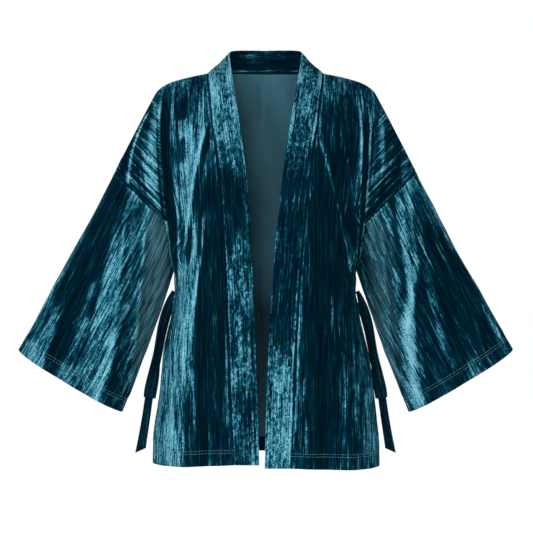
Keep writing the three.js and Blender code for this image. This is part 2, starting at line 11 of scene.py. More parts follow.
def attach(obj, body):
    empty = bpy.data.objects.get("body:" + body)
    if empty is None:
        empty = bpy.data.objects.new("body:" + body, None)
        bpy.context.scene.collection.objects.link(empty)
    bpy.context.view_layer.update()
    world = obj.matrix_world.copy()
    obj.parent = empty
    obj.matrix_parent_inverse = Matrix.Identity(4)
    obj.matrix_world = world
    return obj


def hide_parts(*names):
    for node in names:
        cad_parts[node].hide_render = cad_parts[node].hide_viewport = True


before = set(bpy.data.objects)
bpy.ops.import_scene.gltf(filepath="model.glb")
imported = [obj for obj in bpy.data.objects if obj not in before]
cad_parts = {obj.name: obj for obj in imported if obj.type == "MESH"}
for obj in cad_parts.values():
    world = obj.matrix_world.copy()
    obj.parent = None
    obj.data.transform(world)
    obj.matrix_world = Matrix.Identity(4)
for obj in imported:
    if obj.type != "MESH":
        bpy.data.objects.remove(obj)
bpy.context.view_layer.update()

MM = 0.001
RIGHT = -1  # the wearer's right
LEFT = 1
SIDE = {RIGHT: "right", LEFT: "left"}


def table(columns, *rows):
    """Short table whose columns go by name."""
    return dict(zip(columns.split(), np.array(rows, float).T))


def listed(columns, *rows):
    """Rows of a table, each with its numbers by name."""
    return [dict(zip(columns.split(), row)) for row in rows]


# Cloth and making
CLOTH = 1.5  # velvet with its pile
BAND = 3.2  # neckband, folded double
BAND_WIDE = 50
TIE = 2.4  # tie strap, a flat tube
HEM = 28  # turned-up hem of body and sleeves
HEM_STEP = 1.5  # height over which the hem's second layer ends
SEAM_ROLL = {"seam": 0.75, "join": 0.35}  # the cloth turns in this far; the join is the band's centre back
SEAM_REACH = 2.2  # over about this width
SEAM_TUCK = 0.9  # and runs on this far under its neighbour
# Painted shade in a seam's groove, and a painted highlight in a narrow stripe off it.
SEAM_PAINTED_SHADE_AND_HIGHLIGHT = {"groove": -0.9, "wide": 1.5, "shoulder": 0.45, "off": 3.6, "spread": 1.4}
EDGE_ROUND = 0.92  # share of half the thickness that a free edge rounds away
EDGE_STEPS = (0, 0.35, 0.9, 1.8)  # lines beside an edge, for its round
SPACING = {"front": 2.1, "back": 3.0, "sleeve": 2.5, "neckband": 2.2, "band width": 1.8}  # between others
# Where on a piece its spacing is measured, and by how many points
GUIDE = {"column": 0.5, "row": 0.6, "ring": 0.4}
DENSE = {"up": 400, "front": 400, "back": 500, "sleeve": 300, "ring": 600, "neckband": 600}
BODY_ENDS = {"first row": "free", "last row": "seam", "first column": "seam", "last column": "seam"}
WHOLE = slice(None)
EDGE_LINES = {  # each edge of a grid, and the line beside it
    "first row": ((0, WHOLE), (1, WHOLE)),
    "last row": ((-1, WHOLE), (-2, WHOLE)),
    "first column": ((WHOLE, 0), (WHOLE, 1)),
    "last column": ((WHOLE, -1), (WHOLE, -2)),
}

# Length and shape of the body
HEM_Z = -702
HEM_DROP = {RIGHT: 0, LEFT: 6}  # the wearer's left front hangs a little lower
HEM_SIDE_DIP = 8
NECK_POINT = (105, 5, 0)
SLEEVE_TOP = (275.5, 3, -180)  # dropped shoulder point, on top of the arm
UNDERARM = (148.5, 3, -306)
BODY_LONG = UNDERARM[2] - HEM_Z
FULLNESS = 2.35  # superellipse power of a body section
CORNER_EASE = 4
EASE_STEPS = 3
WAIST_PINCH = {"z": -399, "depth": 4, "height": 15, "reach": 9}
SQUARE_RISE = 1.8
BLADE = 1.4
NECK_SHARE = 6 / 22  # share of half the back's width that lies below the neckband
SLEEVE_LENGTH = 366
SLEEVE_TAPER = 0.35
TOP_ROUND = 0.9
SEAM_ROUND = 1.5
CUFF_BOW = {"out": 2, "down": 3.5}
# How soon folds, creases and crinkles grow to their full height away from an edge
FOLDS_BESIDE = {"front edge": 5, "side seam": 7, "shoulder": 5, "armhole": 9, "sleeve sides": 3}
CREASES_BESIDE = {"front edge": 14, "side seam": 12, "shoulder": 9, "armhole": 14, "sleeve sides": 4}
CRINKLES_BESIDE = {"armhole": 20, "underarm": 8}

# Neckband seam of one front from the hem (at 0) past the underarm level (1) to the shoulder (2) and the
# centre back (3), and the band's folded edge at the same stations.
BAND_SEAM = table(
    "at x y z shift",
    (0.0, 51, -124, -702, -6),
    (0.5, 58, -119, -516, -6),
    (1.0, 68, -120, -330, -4),
    (1.3, 77, -117, -220, -2),
    (1.47, 84, -106, -160, -1.5),
    (1.64, 93, -84, -100, -1),
    (1.83, 101, -44, -38, -0.5),
    (2.0, *NECK_POINT, 0),
    (2.25, 97, 34, 4, 0),
    (2.5, 75, 54, 6, 0),
    (2.75, 40, 67, 7, 0),
    (3.0, 0, 71, 7, 0),
)
BAND_EDGE = table(
    "at x y z shift",
    (0.0, 4.5, -124.5, -702, -6),
    (0.5, 10.5, -119.5, -516, -6),
    (1.0, 20.5, -121.5, -327, -4),
    (1.3, 29.5, -118.5, -215, -2),
    (1.47, 37, -108, -153, -1.5),
    (1.64, 46.5, -89, -91, -1),
    (1.83, 58, -56, -23, -0.5),
    (2.0, 66, 9, 29, 0),
    (2.25, 66, 38, 44.5, 0),
    (2.5, 56, 62, 50, 0),
    (2.75, 32, 80, 52, 0),
    (3.0, 0, 86, 52, 0),
)
CENTRE_BACK = table(
    "at y z",
    (0.0, 124, -702),
    (0.5, 106, -516),
    (0.78, 96, -410),
    (1.0, 97, -330),
    (1.35, 110, -210),
    (1.65, 107, -105),
    (1.85, 90, -38),
    (2.0, 71, 7),
)
SIDE_SEAM = table(
    "z right left",
    (-716, 206.5, 208),
    (-672, 204.5, 207),
    (-635, 200.5, 203),
    (-599, 195, 199),
    (-548, 190.5, 193),
    (-507, 186, 186.5),
    (-470, 178, 177.5),
    (-448, 172, 172),
    (-410, 167, 167),
    (-375, 165.5, 165.5),
    (-345, 157.5, 157.5),
    (-325, 151.5, 151.5),
    (UNDERARM[2], UNDERARM[0], UNDERARM[0]),
)
SHOULDER = table(
    "at x y z",
    (0.0, *NECK_POINT),
    (0.15, 140, 6, -7),
    (0.29, 177, 5, -18),
    (0.38, 198, 4, -32),
    (0.47, 210.5, 3, -54),
    (0.66, 233, 3, -97),
    (0.85, 258, 3, -146),
    (1.0, *SLEEVE_TOP),
)
SLEEVE = table(
    "at topX topZ lowX lowZ y depth",
    (0.0, SLEEVE_TOP[0], SLEEVE_TOP[2], UNDERARM[0], UNDERARM[2], SLEEVE_TOP[1], 54),
    (0.33, 334, -296, 182, -409, -2, 51),
    (0.66, 389.5, -398, 218.5, -513, -7, 47),
    (1.0, 450, -505, 260.5, -619, -12, 43),
)

# Folds of the form. Each runs from z = top to z = foot through x0, x1 and x2, and stands out by push while
# its crest moves sideways by lean. left and right are its flanks' widths, and its ends die away over fade.
FOLD = "x0 x1 x2 top foot push lean left right fade"
FRONT_FOLDS = listed(
    FOLD,
    (-186, -180, -168, -50, -372, 14, -3, 15, 20, 70),
    (-162, -152, -146, -60, -420, -7, 0, 16, 18, 90),
    (-108, -128, -134, -80, -330, 6, 0, 18, 18, 80),
    (-130, -140, -142, -330, -780, 8, 0, 17, 17, 110),
    (-106, -102, -94, -200, -780, -7, 0, 17, 17, 110),
    (174, 170, 160, -50, -372, 12, 3, 18, 15, 70),
    (206, 200, 186, -80, -330, 8, 3, 14, 14, 70),
    (92, 122, 140, -90, -350, 6, 0, 18, 18, 80),
    (136, 148, 156, -330, -780, 8, 0, 17, 17, 110),
    (98, 104, 108, -230, -780, -7, 0, 18, 18, 110),
)
BACK_FOLDS = listed(
    FOLD,
    (-184, -178, -162, -60, -372, 10, 0, 19, 22, 70),
    (-118, -124, -132, -210, -780, 8, 0, 18, 18, 110),
    (-78, -84, -90, -300, -780, -6, 0, 18, 18, 110),
    (-28, -34, -42, -260, -780, 6, 0, 19, 19, 120),
    (22, 18, 12, -330, -780, -5, 0, 18, 18, 120),
    (62, 66, 72, -240, -780, 7, 0, 18, 18, 110),
    (104, 110, 116, -290, -780, -6, 0, 17, 17, 110),
    (146, 152, 160, -330, -780, 7, 0, 15, 15, 100),
    (186, 180, 164, -60, -372, 10, 0, 22, 19, 70),
)
SLEEVE_FRONT_FOLDS = listed(
    FOLD,
    (-252, -276, -304, -190, -680, 8, 0, 22, 22, 90),
    (-292, -342, -390, -200, -640, -6, 0, 24, 22, 90),
    (252, 272, 296, -190, -680, 8, 0, 22, 22, 90),
    (294, 338, 384, -200, -640, -6, 0, 22, 24, 90),
)
SLEEVE_BACK_FOLDS = listed(
    FOLD,
    (-240, -270, -306, -190, -680, 8, 0, 22, 22, 90),
    (-286, -330, -382, -220, -640, -6, 0, 22, 22, 90),
    (242, 274, 312, -190, -680, 8, 0, 22, 22, 90),
    (290, 332, 386, -220, -640, -6, 0, 22, 22, 90),
)

# Finer creases, with sharper crests and dark valleys.
FRONT_CREASES = listed(
    FOLD,
    (-188, -187, -178, -50, -330, 5, -2, 9, 4, 60),
    (-176, -175, -168, -60, -300, -9, 0, 6, 6, 60),
    (-168, -160, -153, -50, -350, 5, 0, 5, 6, 60),
    (-206, -241, -249, -60, -215, 5, 0, 9, 6, 40),
    (-178, -146, -160, -250, -378, 8, -26, 24, 8, 56),
    (-98, -127, -140, -85, -360, 3.5, 0, 7, 5, 60),
    (-90, -113, -124, -95, -300, -3, 0, 6, 6, 60),
    (-118, -121, -119, -360, -690, 3, 0, 6, 5, 70),
    (-152, -158, -164, -420, -712, 3.5, 0, 5, 7, 70),
    (-172, -178, -184, -400, -712, -3, 0, 7, 7, 80),
    (-80, -83, -78, -330, -640, 2.5, 0, 5, 5, 80),
    (171, 170, 164, -60, -340, 4, 0, 5, 5, 60),
    (182, 181, 172, -80, -320, -7, 0, 5, 5, 60),
    (193, 190, 176, -90, -300, 4, 0, 5, 7, 50),
    (175, 146, 160, -250, -374, 8, 23, 8, 24, 50),
    (93, 122, 148, -95, -350, 3.5, 0, 5, 7, 60),
    (110, 131, 160, -120, -330, -3, 0, 6, 6, 60),
    (118, 121, 124, -330, -560, 3, 0, 5, 5, 70),
    (139, 144, 150, -440, -700, 3, 0, 6, 5, 70),
    (170, 178, 186, -430, -712, 3, 0, 7, 6, 70),
    (86, 88, 84, -420, -700, 2.5, 0, 5, 5, 80),
)
# Fine pleats of both fronts and of the back beside the armholes, parallel to the seam: off is how far they
# lie from it, and the rest is as on a fold and a stroke; their tone is painted highlight and shade.
ARMHOLE_PLEATS = listed(
    "off top foot push flank tone",
    (2, -170, -285, 0, 1.5, 0.5),
    (8, -176, -292, 1.2, 4.5, -0.75),
    (16, -170, -286, 1.3, 3.0, -0.45),
    (21, -160, -262, 1.8, 2.2, 0.55),
    (27, -160, -270, 1.3, 3.2, -0.6),
    (34, -140, -246, 1.9, 2.4, 0.35),
    (40, -142, -262, 1.3, 3.0, -0.5),
    (47, -126, -235, 1.8, 3.4, 0.4),
    (55, -120, -240, 1.6, 2.4, -0.35),
    (66, -100, -212, 1.4, 5.0, 0.4),
    (75, -98, -222, 1.5, 2.2, -0.4),
    (88, -84, -190, 1.3, 4.0, 0.25),
    (98, -84, -200, 1.2, 2.2, -0.35),
)
PLEATS_FADE = 24
PLEATS_END = 5  # width over which they end towards the outside of the arm
BACK_CREASES = listed(
    FOLD,
    (-13, -13, -12, 4, -84, 1.2, 0, 3, 3, 24),
    (-3, -3, -5, 4, -116, 1.2, 0, 3, 3, 30),
    (8, 8, 6, 4, -72, -1.2, 0, 3, 3, 24),
    (-192, -186, -170, -70, -350, 4, 0, 6, 8, 60),
    (-176, -170, -158, -90, -330, -6, 0, 6, 6, 60),
    (-140, -146, -152, -330, -712, 3, 0, 6, 6, 80),
    (-102, -106, -112, -250, -620, 3, 0, 5, 6, 80),
    (-60, -58, -62, -180, -560, -2.5, 0, 6, 6, 90),
    (-14, -12, -18, -300, -700, 3, 0, 6, 5, 90),
    (36, 40, 44, -210, -600, 2.5, 0, 5, 6, 90),
    (84, 90, 94, -260, -700, 3, 0, 6, 6, 80),
    (126, 130, 138, -300, -712, 3.5, 0, 6, 6, 80),
    (164, 170, 176, -400, -712, 3, 0, 6, 6, 80),
    (176, 172, 160, -90, -340, -6, 0, 6, 6, 60),
    (194, 188, 172, -70, -350, 4, 0, 8, 6, 60),
)
SLEEVE_CREASES = listed(
    FOLD,
    (-240, -262, -284, -200, -600, 3, 0, 7, 7, 80),
    (-266, -296, -336, -210, -560, -3, 0, 8, 8, 80),
    (-300, -350, -408, -240, -560, 3, 0, 8, 8, 80),
    (-214, -226, -250, -260, -600, 2.5, 0, 5, 5, 60),
    (-196, -212, -236, -300, -600, -2, 0, 5, 5, 60),
    (240, 264, 272, -200, -590, 3, 0, 7, 7, 80),
    (268, 290, 330, -220, -560, -3, 0, 8, 8, 80),
    (300, 346, 402, -240, -560, 3, 0, 8, 8, 80),
    (212, 224, 246, -260, -600, 2.5, 0, 5, 5, 60),
    (194, 210, 232, -300, -600, -2, 0, 5, 5, 60),
)

# The folds that part the upper arm from the body on each side, and the line past which it turns outside.
UPPER_ARM = table(
    "z right left outer",
    (-330, 171, 169, 260),
    (-250, 180.5, 180, 250),
    (-180, 185.5, 188, 243),
    (-110, 188.5, 200, 225),
    (-46, 190, 212, 200),
    (20, 190, 216, 190),
)

# Lie of the pile, and painted light. Where the pile turns to the light the velvet is pale, with tone above
# 0, and where it turns away it is nearly black. Many strokes are painted highlights on the crests of folds
# and creases and painted shade in their valleys. Each stroke runs like a fold, with its tone in place of a
# push.
STROKE = "x0 x1 x2 top foot left right fade tone"
FRONT_PILE_AND_PAINTED_LIGHT = listed(
    STROKE,
    (-205, -238, -247, -60, -212, 2.4, 2.6, 24, 1.3),
    (-212, -248, -258, -56, -204, 6, 6, 20, -1.4),
    (-216, -228, -236, -76, -212, 8, 9, 30, -0.4),
    (-207, -209, -206, -76, -236, 9, 8, 40, 0.45),
    (-194, -190, -182, -84, -288, 1.7, 1.7, 30, -1.1),
    (-190, -183, -158, -46, -404, 2.2, 2.2, 24, 1.1),
    (-179, -170, -161, -52, -404, 7, 8, 40, -1.05),
    (-168, -158.5, -155, -48, -396, 2.2, 3.5, 30, 0.9),
    (-147, -147, -147, -46, -96, 9, 8, 16, -1.1),
    (-146, -146, -146, -120, -176, 7, 6, 14, -0.95),
    (-116, -120, -126, -36, -200, 17, 13, 50, 0.4),
    (-142, -146, -147, -70, -400, 16, 12, 40, 0.5),
    (-144, -150, -182, -350, -740, 18, 14, 60, 0.45),
    (-186, -192, -200, -470, -740, 12, 10, 60, 0.35),
    (-135, -136, -138, -276, -345, 3.5, 4.5, 20, -0.8),
    (-106, -115, -131, -236, -444, 3, 4, 40, 0.85),
    (-101, -130, -143, -90, -345, 3.5, 2.5, 40, 0.7),
    (-92, -98, -108, -170, -740, 24, 25, 60, -0.8),
    (-112, -111, -110, -250, -330, 3, 3, 30, 0.5),
    (-78, -79, -76, -280, -740, 10, 14, 60, -0.5),
    (-126, -128, -134, -236, -540, 8, 9, 40, 0.62),
    (-134, -128, -124, -500, -740, 9, 12, 60, 0.5),
    (-100, -98, -94, -560, -740, 22, 22, 60, 0.18),
    (-68, -68, -66, -440, -660, 2, 2, 50, 0.8),
    (112, 112, 108, -30, -740, 50, 40, 60, -0.85),
    (108, 112, 114, -36, -180, 40, 34, 60, 0.55),
    (96, 110, 122, -108, -218, 7, 7, 30, 0.5),
    (141, 141, 143, -488, -632, 13, 15, 30, 0.3),
    (68, 67, 66, -540, -592, 1.6, 1.6, 16, 0.7),
    (117, 117, 118, -390, -472, 1.8, 1.8, 30, 0.7),
    (141, 141, 141, -460, -508, 1.8, 1.8, 20, 0.7),
    (174, 178, 184, -560, -714, 12, 18, 50, 0.2),
    (59, 56.5, 51, -430, -660, 1.7, 1.7, 40, 0.85),
    (72, 73, 73, -616, -700, 2.6, 2.6, 20, 0.85),
    (160, 161, 153, -46, -350, 11, 7, 50, -0.7),
    (163, 162, 158, -176, -262, 3.5, 3.5, 30, 0.5),
    (232, 222, 204, -80, -300, 20, 30, 40, -0.4),
    (185, 176, 160, -80, -380, 6, 6, 40, -0.5),
    (170, 169.5, 157, -62, -390, 1.6, 2.0, 30, 0.65),
    (174.5, 174, 161, -70, -384, 2, 2.4, 30, -0.9),
    (188, 182.5, 160.5, -62, -390, 1.8, 1.8, 30, 0.9),
    (198, 190, 185, -80, -230, 1.9, 1.9, 24, -1.1),
    (92, 128, 156, -118, -380, 2.2, 2.2, 30, 0.75),
    (130, 148, 160, -100, -250, 2.2, 2.2, 30, 0.4),
    (209, 212, 211, -80, -206, 6, 6, 30, 0.6),
)
# Painted shade inside the back: darker at the top, low down and to both sides, most to the wearer's left,
# paler down the middle, with painted highlight and shade on the creases below the neck.
BACK_WITHIN_PAINTED_LIGHT_AND_SHADE = listed(
    STROKE,
    (-13, -13, -12, 4, -84, 2.2, 2.2, 24, -0.7),
    (-3, -3, -5, 4, -116, 2.2, 2.2, 30, 0.7),
    (8, 8, 6, 4, -72, 2.2, 2.2, 24, -0.6),
    (2, 2, 0, -20, -420, 34, 34, 90, 0.25),
    (0, 0, 0, 60, -30, 160, 160, 50, -0.45),
    (54, 50, 38, 40, -360, 27, 60, 70, -0.95),
    (-60, -54, -44, 20, -300, 60, 24, 70, -0.4),
    (0, 0, 0, -320, -880, 160, 160, 180, -1.75),
)
# Strokes of the back, partly painted highlight and shade on the folds beside the armholes.
BACK_PILE_AND_PAINTED_LIGHT = listed(
    STROKE,
    (-186, -184, -168, -60, -340, 7, 7, 50, -0.8),
    (-196, -192, -178, -50, -350, 4, 4, 40, 0.6),
    (-150, -152, -160, -80, -700, 18, 18, 80, 0.45),
    (-96, -100, -104, -220, -700, 24, 20, 90, -0.8),
    (-40, -36, -42, -60, -600, 14, 12, 80, 0.3),
    (4, 8, 4, -240, -712, 18, 24, 80, -0.6),
    (60, 66, 70, -120, -700, 12, 12, 80, 0.45),
    (112, 116, 122, -60, -640, 24, 24, 80, -0.75),
    (158, 158, 166, -300, -712, 12, 16, 70, 0.55),
    (186, 184, 168, -60, -340, 7, 7, 50, -0.8),
    (200, 194, 180, -50, -350, 5, 5, 40, 0.5),
)
# Strokes of the sleeves, partly painted highlights on the crests of their folds and painted shade beside
# them.
SLEEVE_PILE_AND_PAINTED_LIGHT = listed(
    STROKE,
    (-274, -358, -444, -184, -496, 7, 8, 30, 0.55),
    (-276, -328, -380, -176, -540, 26, 30, 30, -0.7),
    (-250, -280, -318, -190, -400, 11, 13, 40, -0.6),
    (-238, -256, -312, -192, -620, 12, 9, 30, 0.62),
    (-372, -386, -404, -420, -500, 8, 6, 30, 0.6),
    (-420, -418, -416, -478, -540, 13, 13, 20, 0.6),
    (-330, -352, -372, -440, -560, 10, 10, 30, 0.35),
    (274, 358, 444, -184, -496, 7, 6, 30, 0.3),
    (258, 262, 273, -188, -350, 6, 6, 20, 0.7),
    (272, 264, 253, -320, -480, 9, 7, 30, 0.8),
    (252, 262, 286, -440, -620, 8, 9, 30, 0.8),
    (196, 192, 197, -245, -360, 6, 6, 30, 0.6),
    (272, 286, 300, -284, -372, 3, 3, 20, 0.7),
    (298, 348, 400, -270, -560, 36, 36, 70, -0.75),
    (224, 238, 256, -196, -440, 7, 6, 40, -0.7),
)
# Where the sleeves turn towards the body the pile lies flat and greyer, and the crinkles show as fine ribs.
SLEEVE_RIBS = listed(
    STROKE,
    (-184, -206, -236, -210, -640, 26, 34, 50, 1.0),
    (192, 212, 236, -230, -640, 30, 36, 60, 0.64),
)
# Stretches of the neckband, by height.
BAND_PILE = listed(
    "side top foot fade tone",
    (RIGHT, 80, -170, 60, 0.5),
    (RIGHT, -165, -335, 50, -0.38),
    (RIGHT, -320, -760, 60, -0.02),
    (LEFT, 80, -150, 60, 0.2),
    (LEFT, -140, -505, 70, -0.42),
    (LEFT, -480, -760, 60, 0.4),
)

# Half-bow ties at the waist: a loop outside the hip and a free end behind it.
STRAP_COLUMNS = "side y z wide turn"
TIE_LOOP = table(
    STRAP_COLUMNS,
    (168.1, 3, -399, 7, 0),
    (171.4, 2, -406, 9, 4),
    (174.6, 0.5, -415, 12.5, 12),
    (181.5, -2, -435, 17.5, 28),
    (188, -3, -459, 20, 38),
    (194, -4, -487, 21, 52),
    (197.5, -5, -510, 21, 50),
    (201, -6, -531, 21.5, 40),
    (204.5, -6, -553, 22.5, 20),
    (209, -5, -576, 23.5, 4),
    (211, -4, -587, 23, 0),
    (212, 0, -593, 22, 0),
    (212, 4.5, -593.5, 22, 0),
    (211.5, 8.5, -589, 22, 0),
    (209, 10, -576, 21, -8),
    (203.5, 10.5, -549, 17, -40),
    (197.2, 10.5, -520, 13, -68),
    (190.2, 10.5, -491, 10, -78),
    (184.3, 9.5, -470, 8.5, -82),
    (179.9, 9, -455, 8, -84),
)
TIE_TAIL = table(
    STRAP_COLUMNS,
    (170.1, 19, -421, 12, -80),
    (177, 21, -445, 13, -70),
    (188, 23, -480, 14, -50),
    (199, 23, -525, 15, -25),
    (208, 21, -565, 15, -10),
    (214.5, 19, -595, 15, 0),
    (219.5, 16, -630, 15.5, 0),
    (225, 13, -665, 16.5, 0),
    (229.5, 11, -692, 18, 0),
)
TAIL_SLANT = 12
SLANT_STEPS = 3  # steps from a tie's end over which the slant grows
# Steps between two rows of a tie's table, sides of its section, how square that is, and its grain's places
STRAP = {"steps": 9, "sides": 28, "square across": 0.55, "square through": 0.8, "grain": 22, "under": 60}
STRAP_CREASE = {"at": 0.16, "wide": 0.045, "depth": 0.28}  # pressed fold, in shares of the width
STRAP_SWELL = {"along": 16, "line": np.array([5.5]), "height": 0.25, "seed": 47}
STRAP_PAINTED_HIGHLIGHT = {"edges": 0.9, "sharp": 7, "fold": 0.6, "at": 0.2, "wide": 0.05}  # painted highlight along its rounded edges and its pressed fold

# Fine crinkles of the crushed cloth, as raised ridges along the grain.
CRINKLES = listed(
    "across along height seed",
    (13, 150, 1.3, 3),
    (7.5, 80, 0.65, 7),
)
CRINKLE_DEPTH = 2.2
CRINKLE_BENDS = {"across": 40, "along": 90, "push": 3, "seed": 2}
FLAT_HEM = {"share": 0.45, "fade": 12}  # the crinkles are lower where the hem is turned up
DRIFT = {"across": 34, "along": 190, "height": 1.4, "seed": 11}  # slow unevenness of the hanging cloth
PILE_PATCHES = {"across": 9, "along": 110, "tone": 0.16, "seed": 23}
# Painted highlight on the flanks of folds turned towards the light, and painted shade on those turned away.
PAINTED_FLANK_LIGHT = {"turn": 0.45, "tone": 0.6}
FRONT_PAINTED_LIGHT_SIDE = {RIGHT: -1, LEFT: -0.4}  # side to which the painted highlight on the fronts' fold flanks turns, and how strongly
STROKES_BEHIND = 0.6  # strokes are weaker on the back of a sleeve

# Neckband: waves, slanting pulls and small bumps, how soon they grow from its edges, and how its pile lies.
BAND_WAVES = {"across": 26, "along": 55, "height": 1.0, "tone": 0.30, "seed": 31}
BAND_PULLS = {"across": 8, "along": 30, "height": 0.5, "slant": 0.45, "seed": 37}
BAND_BUMPS = {"across": 5, "along": 26, "height": 0.3, "tone": 0.18, "within": 0.2, "seed": 41}
BAND_HOLD = {"seam": 6, "fold": 5}
# Painted highlight along the band's folded edge, and on its inner face a little off its seam.
BAND_PAINTED_HIGHLIGHT = {"fold": 0.35, "seam": 0.55, "off": 5, "wide": 2.5}
BAND_WITHIN = {"across": 30, "along": 16, "seed": 31, "x": 1200, "z": 960, "tone": 0.4, "level": -0.5}

# Place of each kind of piece in the pattern of the grain, so that no two look the same
GRAIN_SHIFT = {"back": 900, "sleeve": 1700, "neckband": 2600, "tie": 3300}
UPPER_ARM_GRAIN = (400, 500)

# Flat size of each cut piece in metres, and its area in square metres where it isn't a rectangle
CUTS = {
    "front_right": ((0.26, 0.75), 0.140),
    "front_left": ((0.26, 0.75), 0.145),
    "back": ((0.60, 0.75), 0.370),
    "sleeve_right": ((0.48, 0.37), None),
    "sleeve_left": ((0.48, 0.37), None),
    "neckband_right": ((0.05, 0.90), None),
    "neckband_left": ((0.05, 0.90), None),
    "tie_loop": (0.020, 0.40),
    "tie_tail": (0.015, 0.29),
}

# Hem and cuff stitches: two rows of a twin needle
STITCH = {
    "length": 2.5, "pitch": 3.3, "thick": 0.55, "apart": 5, "lift": 0.12, "shortest": 0.88, "longest": 1.1,
    "sides": 7, "rings": 5, "twist": 900.0, "seed": 5,
}

# Camera of the photograph, level and 2.8 metres in front of the jacket
CAMERA = {"place": (0.00183, -2.8, -0.354), "lens": 103.34, "sensor": 36, "reach": 60}
STUDIO = {"backdrop": 1.0, "round light": 0.5, "floor glow": 0.55}
FLOOR = {"z": -1.4, "half": 14, "clouds": (900, 900)}  # the jacket hangs as high as on someone standing
# Place, width and power of each light, all aimed at the middle of the jacket
LIGHTS = (
    ("key", (-1.9, -2.6, 1.1), 1.3, 100),
    ("front", (-0.35, -2.9, 0.3), 0.7, 45),
    ("fill", (2.4, -2.2, 0.2), 1.8, 25),
    ("back", (0.6, 2.6, 1.4), 1.6, 60),
)
LIT_PLACE = (0, 0, -0.35)

# Colours of the velvet, linear, from the pile that turns away to the pile that turns to the light
VELVET_STOPS = (
    (0.00, (0.0000, 0.0030, 0.0060)),
    (0.16, (0.0001, 0.0046, 0.0090)),
    (0.30, (0.0003, 0.0105, 0.0190)),
    (0.40, (0.0018, 0.0270, 0.0430)),
    (0.48, (0.0055, 0.0600, 0.0920)),
    (0.56, (0.0330, 0.1400, 0.1950)),
    (0.66, (0.0680, 0.2100, 0.2700)),
    (0.84, (0.1050, 0.2700, 0.3350)),
    (1.00, (0.1700, 0.3400, 0.4000)),
)
RIB_STOPS = (
    (0.00, (0.0015, 0.0110, 0.0170)),
    (0.40, (0.0135, 0.0460, 0.0630)),
    (0.65, (0.0360, 0.0950, 0.1200)),
    (1.00, (0.0900, 0.2000, 0.2400)),
)
TIE_STOPS = (
    (0.00, (0.0002, 0.0030, 0.0060)),
    (0.40, (0.0005, 0.0080, 0.0150)),
    (0.60, (0.0030, 0.0240, 0.0380)),
    (0.80, (0.0110, 0.0650, 0.0900)),
    (1.00, (0.0300, 0.1200, 0.1600)),
)
REVERSE_STOPS = (
    (0.0, (0.010, 0.029, 0.039)),
    (0.3, (0.027, 0.082, 0.110)),
    (0.8, (0.043, 0.124, 0.160)),
)
THREAD_STOPS = ((0.3, (0.045, 0.14, 0.18)), (0.7, (0.11, 0.27, 0.33)))
FLOOR_STOPS = ((0.3, (0.86, 0.86, 0.86)), (0.7, (0.90, 0.90, 0.90)))
SHEEN_TINT = (0.10, 0.55, 0.70, 1)


# Reading the tables

def ease(value):
    held = np.clip(value, 0, 1)
    return held * held * (3 - 2 * held)


def mix(a, b, share):
    return a + (b - a) * share


def bell(off, wide):
    """1 on a line, and less off it by a bell curve."""
    return np.exp(-(off / wide) ** 2)


def read(rows, key, column, where):
    """One column of a table at a key, by a cubic whose slopes are those of the neighbouring rows."""
    keys = rows[key]
    values = rows[column]
    slopes = np.empty_like(values)
    slopes[0] = (values[1] - values[0]) / (keys[1] - keys[0])
    slopes[-1] = (values[-1] - values[-2]) / (keys[-1] - keys[-2])
    slopes[1:-1] = (values[2:] - values[:-2]) / (keys[2:] - keys[:-2])
    at = np.clip(where, keys[0], keys[-1])
    row = np.clip(np.searchsorted(keys, at) - 1, 0, len(keys) - 2)
    span = keys[row + 1] - keys[row]
    t = (at - keys[row]) / span
    along = mix(values[row], values[row + 1], t * t * (3 - 2 * t))
    return along + span * (t * (1 - t) ** 2 * slopes[row] - t * t * (1 - t) * slopes[row + 1])


def points(x, y, z):
    return np.stack(np.broadcast_arrays(x, y, z), axis=-1).astype(float)


def line_point(rows, at, sign):
    return points(sign * read(rows, "at", "x", at), read(rows, "at", "y", at), read(rows, "at", "z", at))


def band_point(rows, at, sign):
    line = line_point(rows, at, sign)
    line[..., 0] += read(rows, "at", "shift", at)
    line[..., 2] -= HEM_DROP[sign] * np.clip(1 - at, 0, 1)
    return line


def side_seam_point(at, sign):
    z = mix(HEM_Z - HEM_DROP[sign] - HEM_SIDE_DIP, UNDERARM[2], at)
    return points(sign * read(SIDE_SEAM, "z", SIDE[sign], z), UNDERARM[1], z)


def sleeve_point(at, angle, facing, sign):
    """Point of a sleeve at a share of its length, at an angle round it from its top fold."""
    across = (1 - np.cos(angle)) / 2
    depth = read(SLEEVE, "at", "depth", at) * (1 - SLEEVE_TAPER * across)
    bow = np.sin(angle) * ease(at)
    wide = mix(read(SLEEVE, "at", "topX", at), read(SLEEVE, "at", "lowX", at), across)
    high = mix(read(SLEEVE, "at", "topZ", at), read(SLEEVE, "at", "lowZ", at), across)
    bulge = np.clip(np.sin(angle), 0, 1) ** mix(TOP_ROUND, SEAM_ROUND, across)
    return points(
        sign * (wide + CUFF_BOW["out"] * bow),
        read(SLEEVE, "at", "y", at) + facing * depth * bulge,
        high - CUFF_BOW["down"] * bow,
    )


def outer_point(at, facing, sign):
    """Outer line of a body panel: its side seam, then its armhole."""
    seam = side_seam_point(np.minimum(at, 1), sign)
    hole = sleeve_point(np.zeros_like(at), math.pi * (2 - np.maximum(at, 1)), facing, sign)
    return np.where((at < 1)[..., None], seam, hole)


def centre_back_point(at):
    drop = (HEM_DROP[RIGHT] + HEM_DROP[LEFT]) / 2
    z = read(CENTRE_BACK, "at", "z", at) - drop * np.clip(1 - at, 0, 1)
    return points(0, read(CENTRE_BACK, "at", "y", at), z)


def back_top(share, sign):
    """Top line of half the back: the neckline, then the shoulder seam."""
    neck = band_point(BAND_SEAM, 3 - np.minimum(share / NECK_SHARE, 1), sign)
    line = line_point(SHOULDER, np.clip((share - NECK_SHARE) / (1 - NECK_SHARE), 0, 1), sign)
    return np.where((share < NECK_SHARE)[..., None], neck, line)


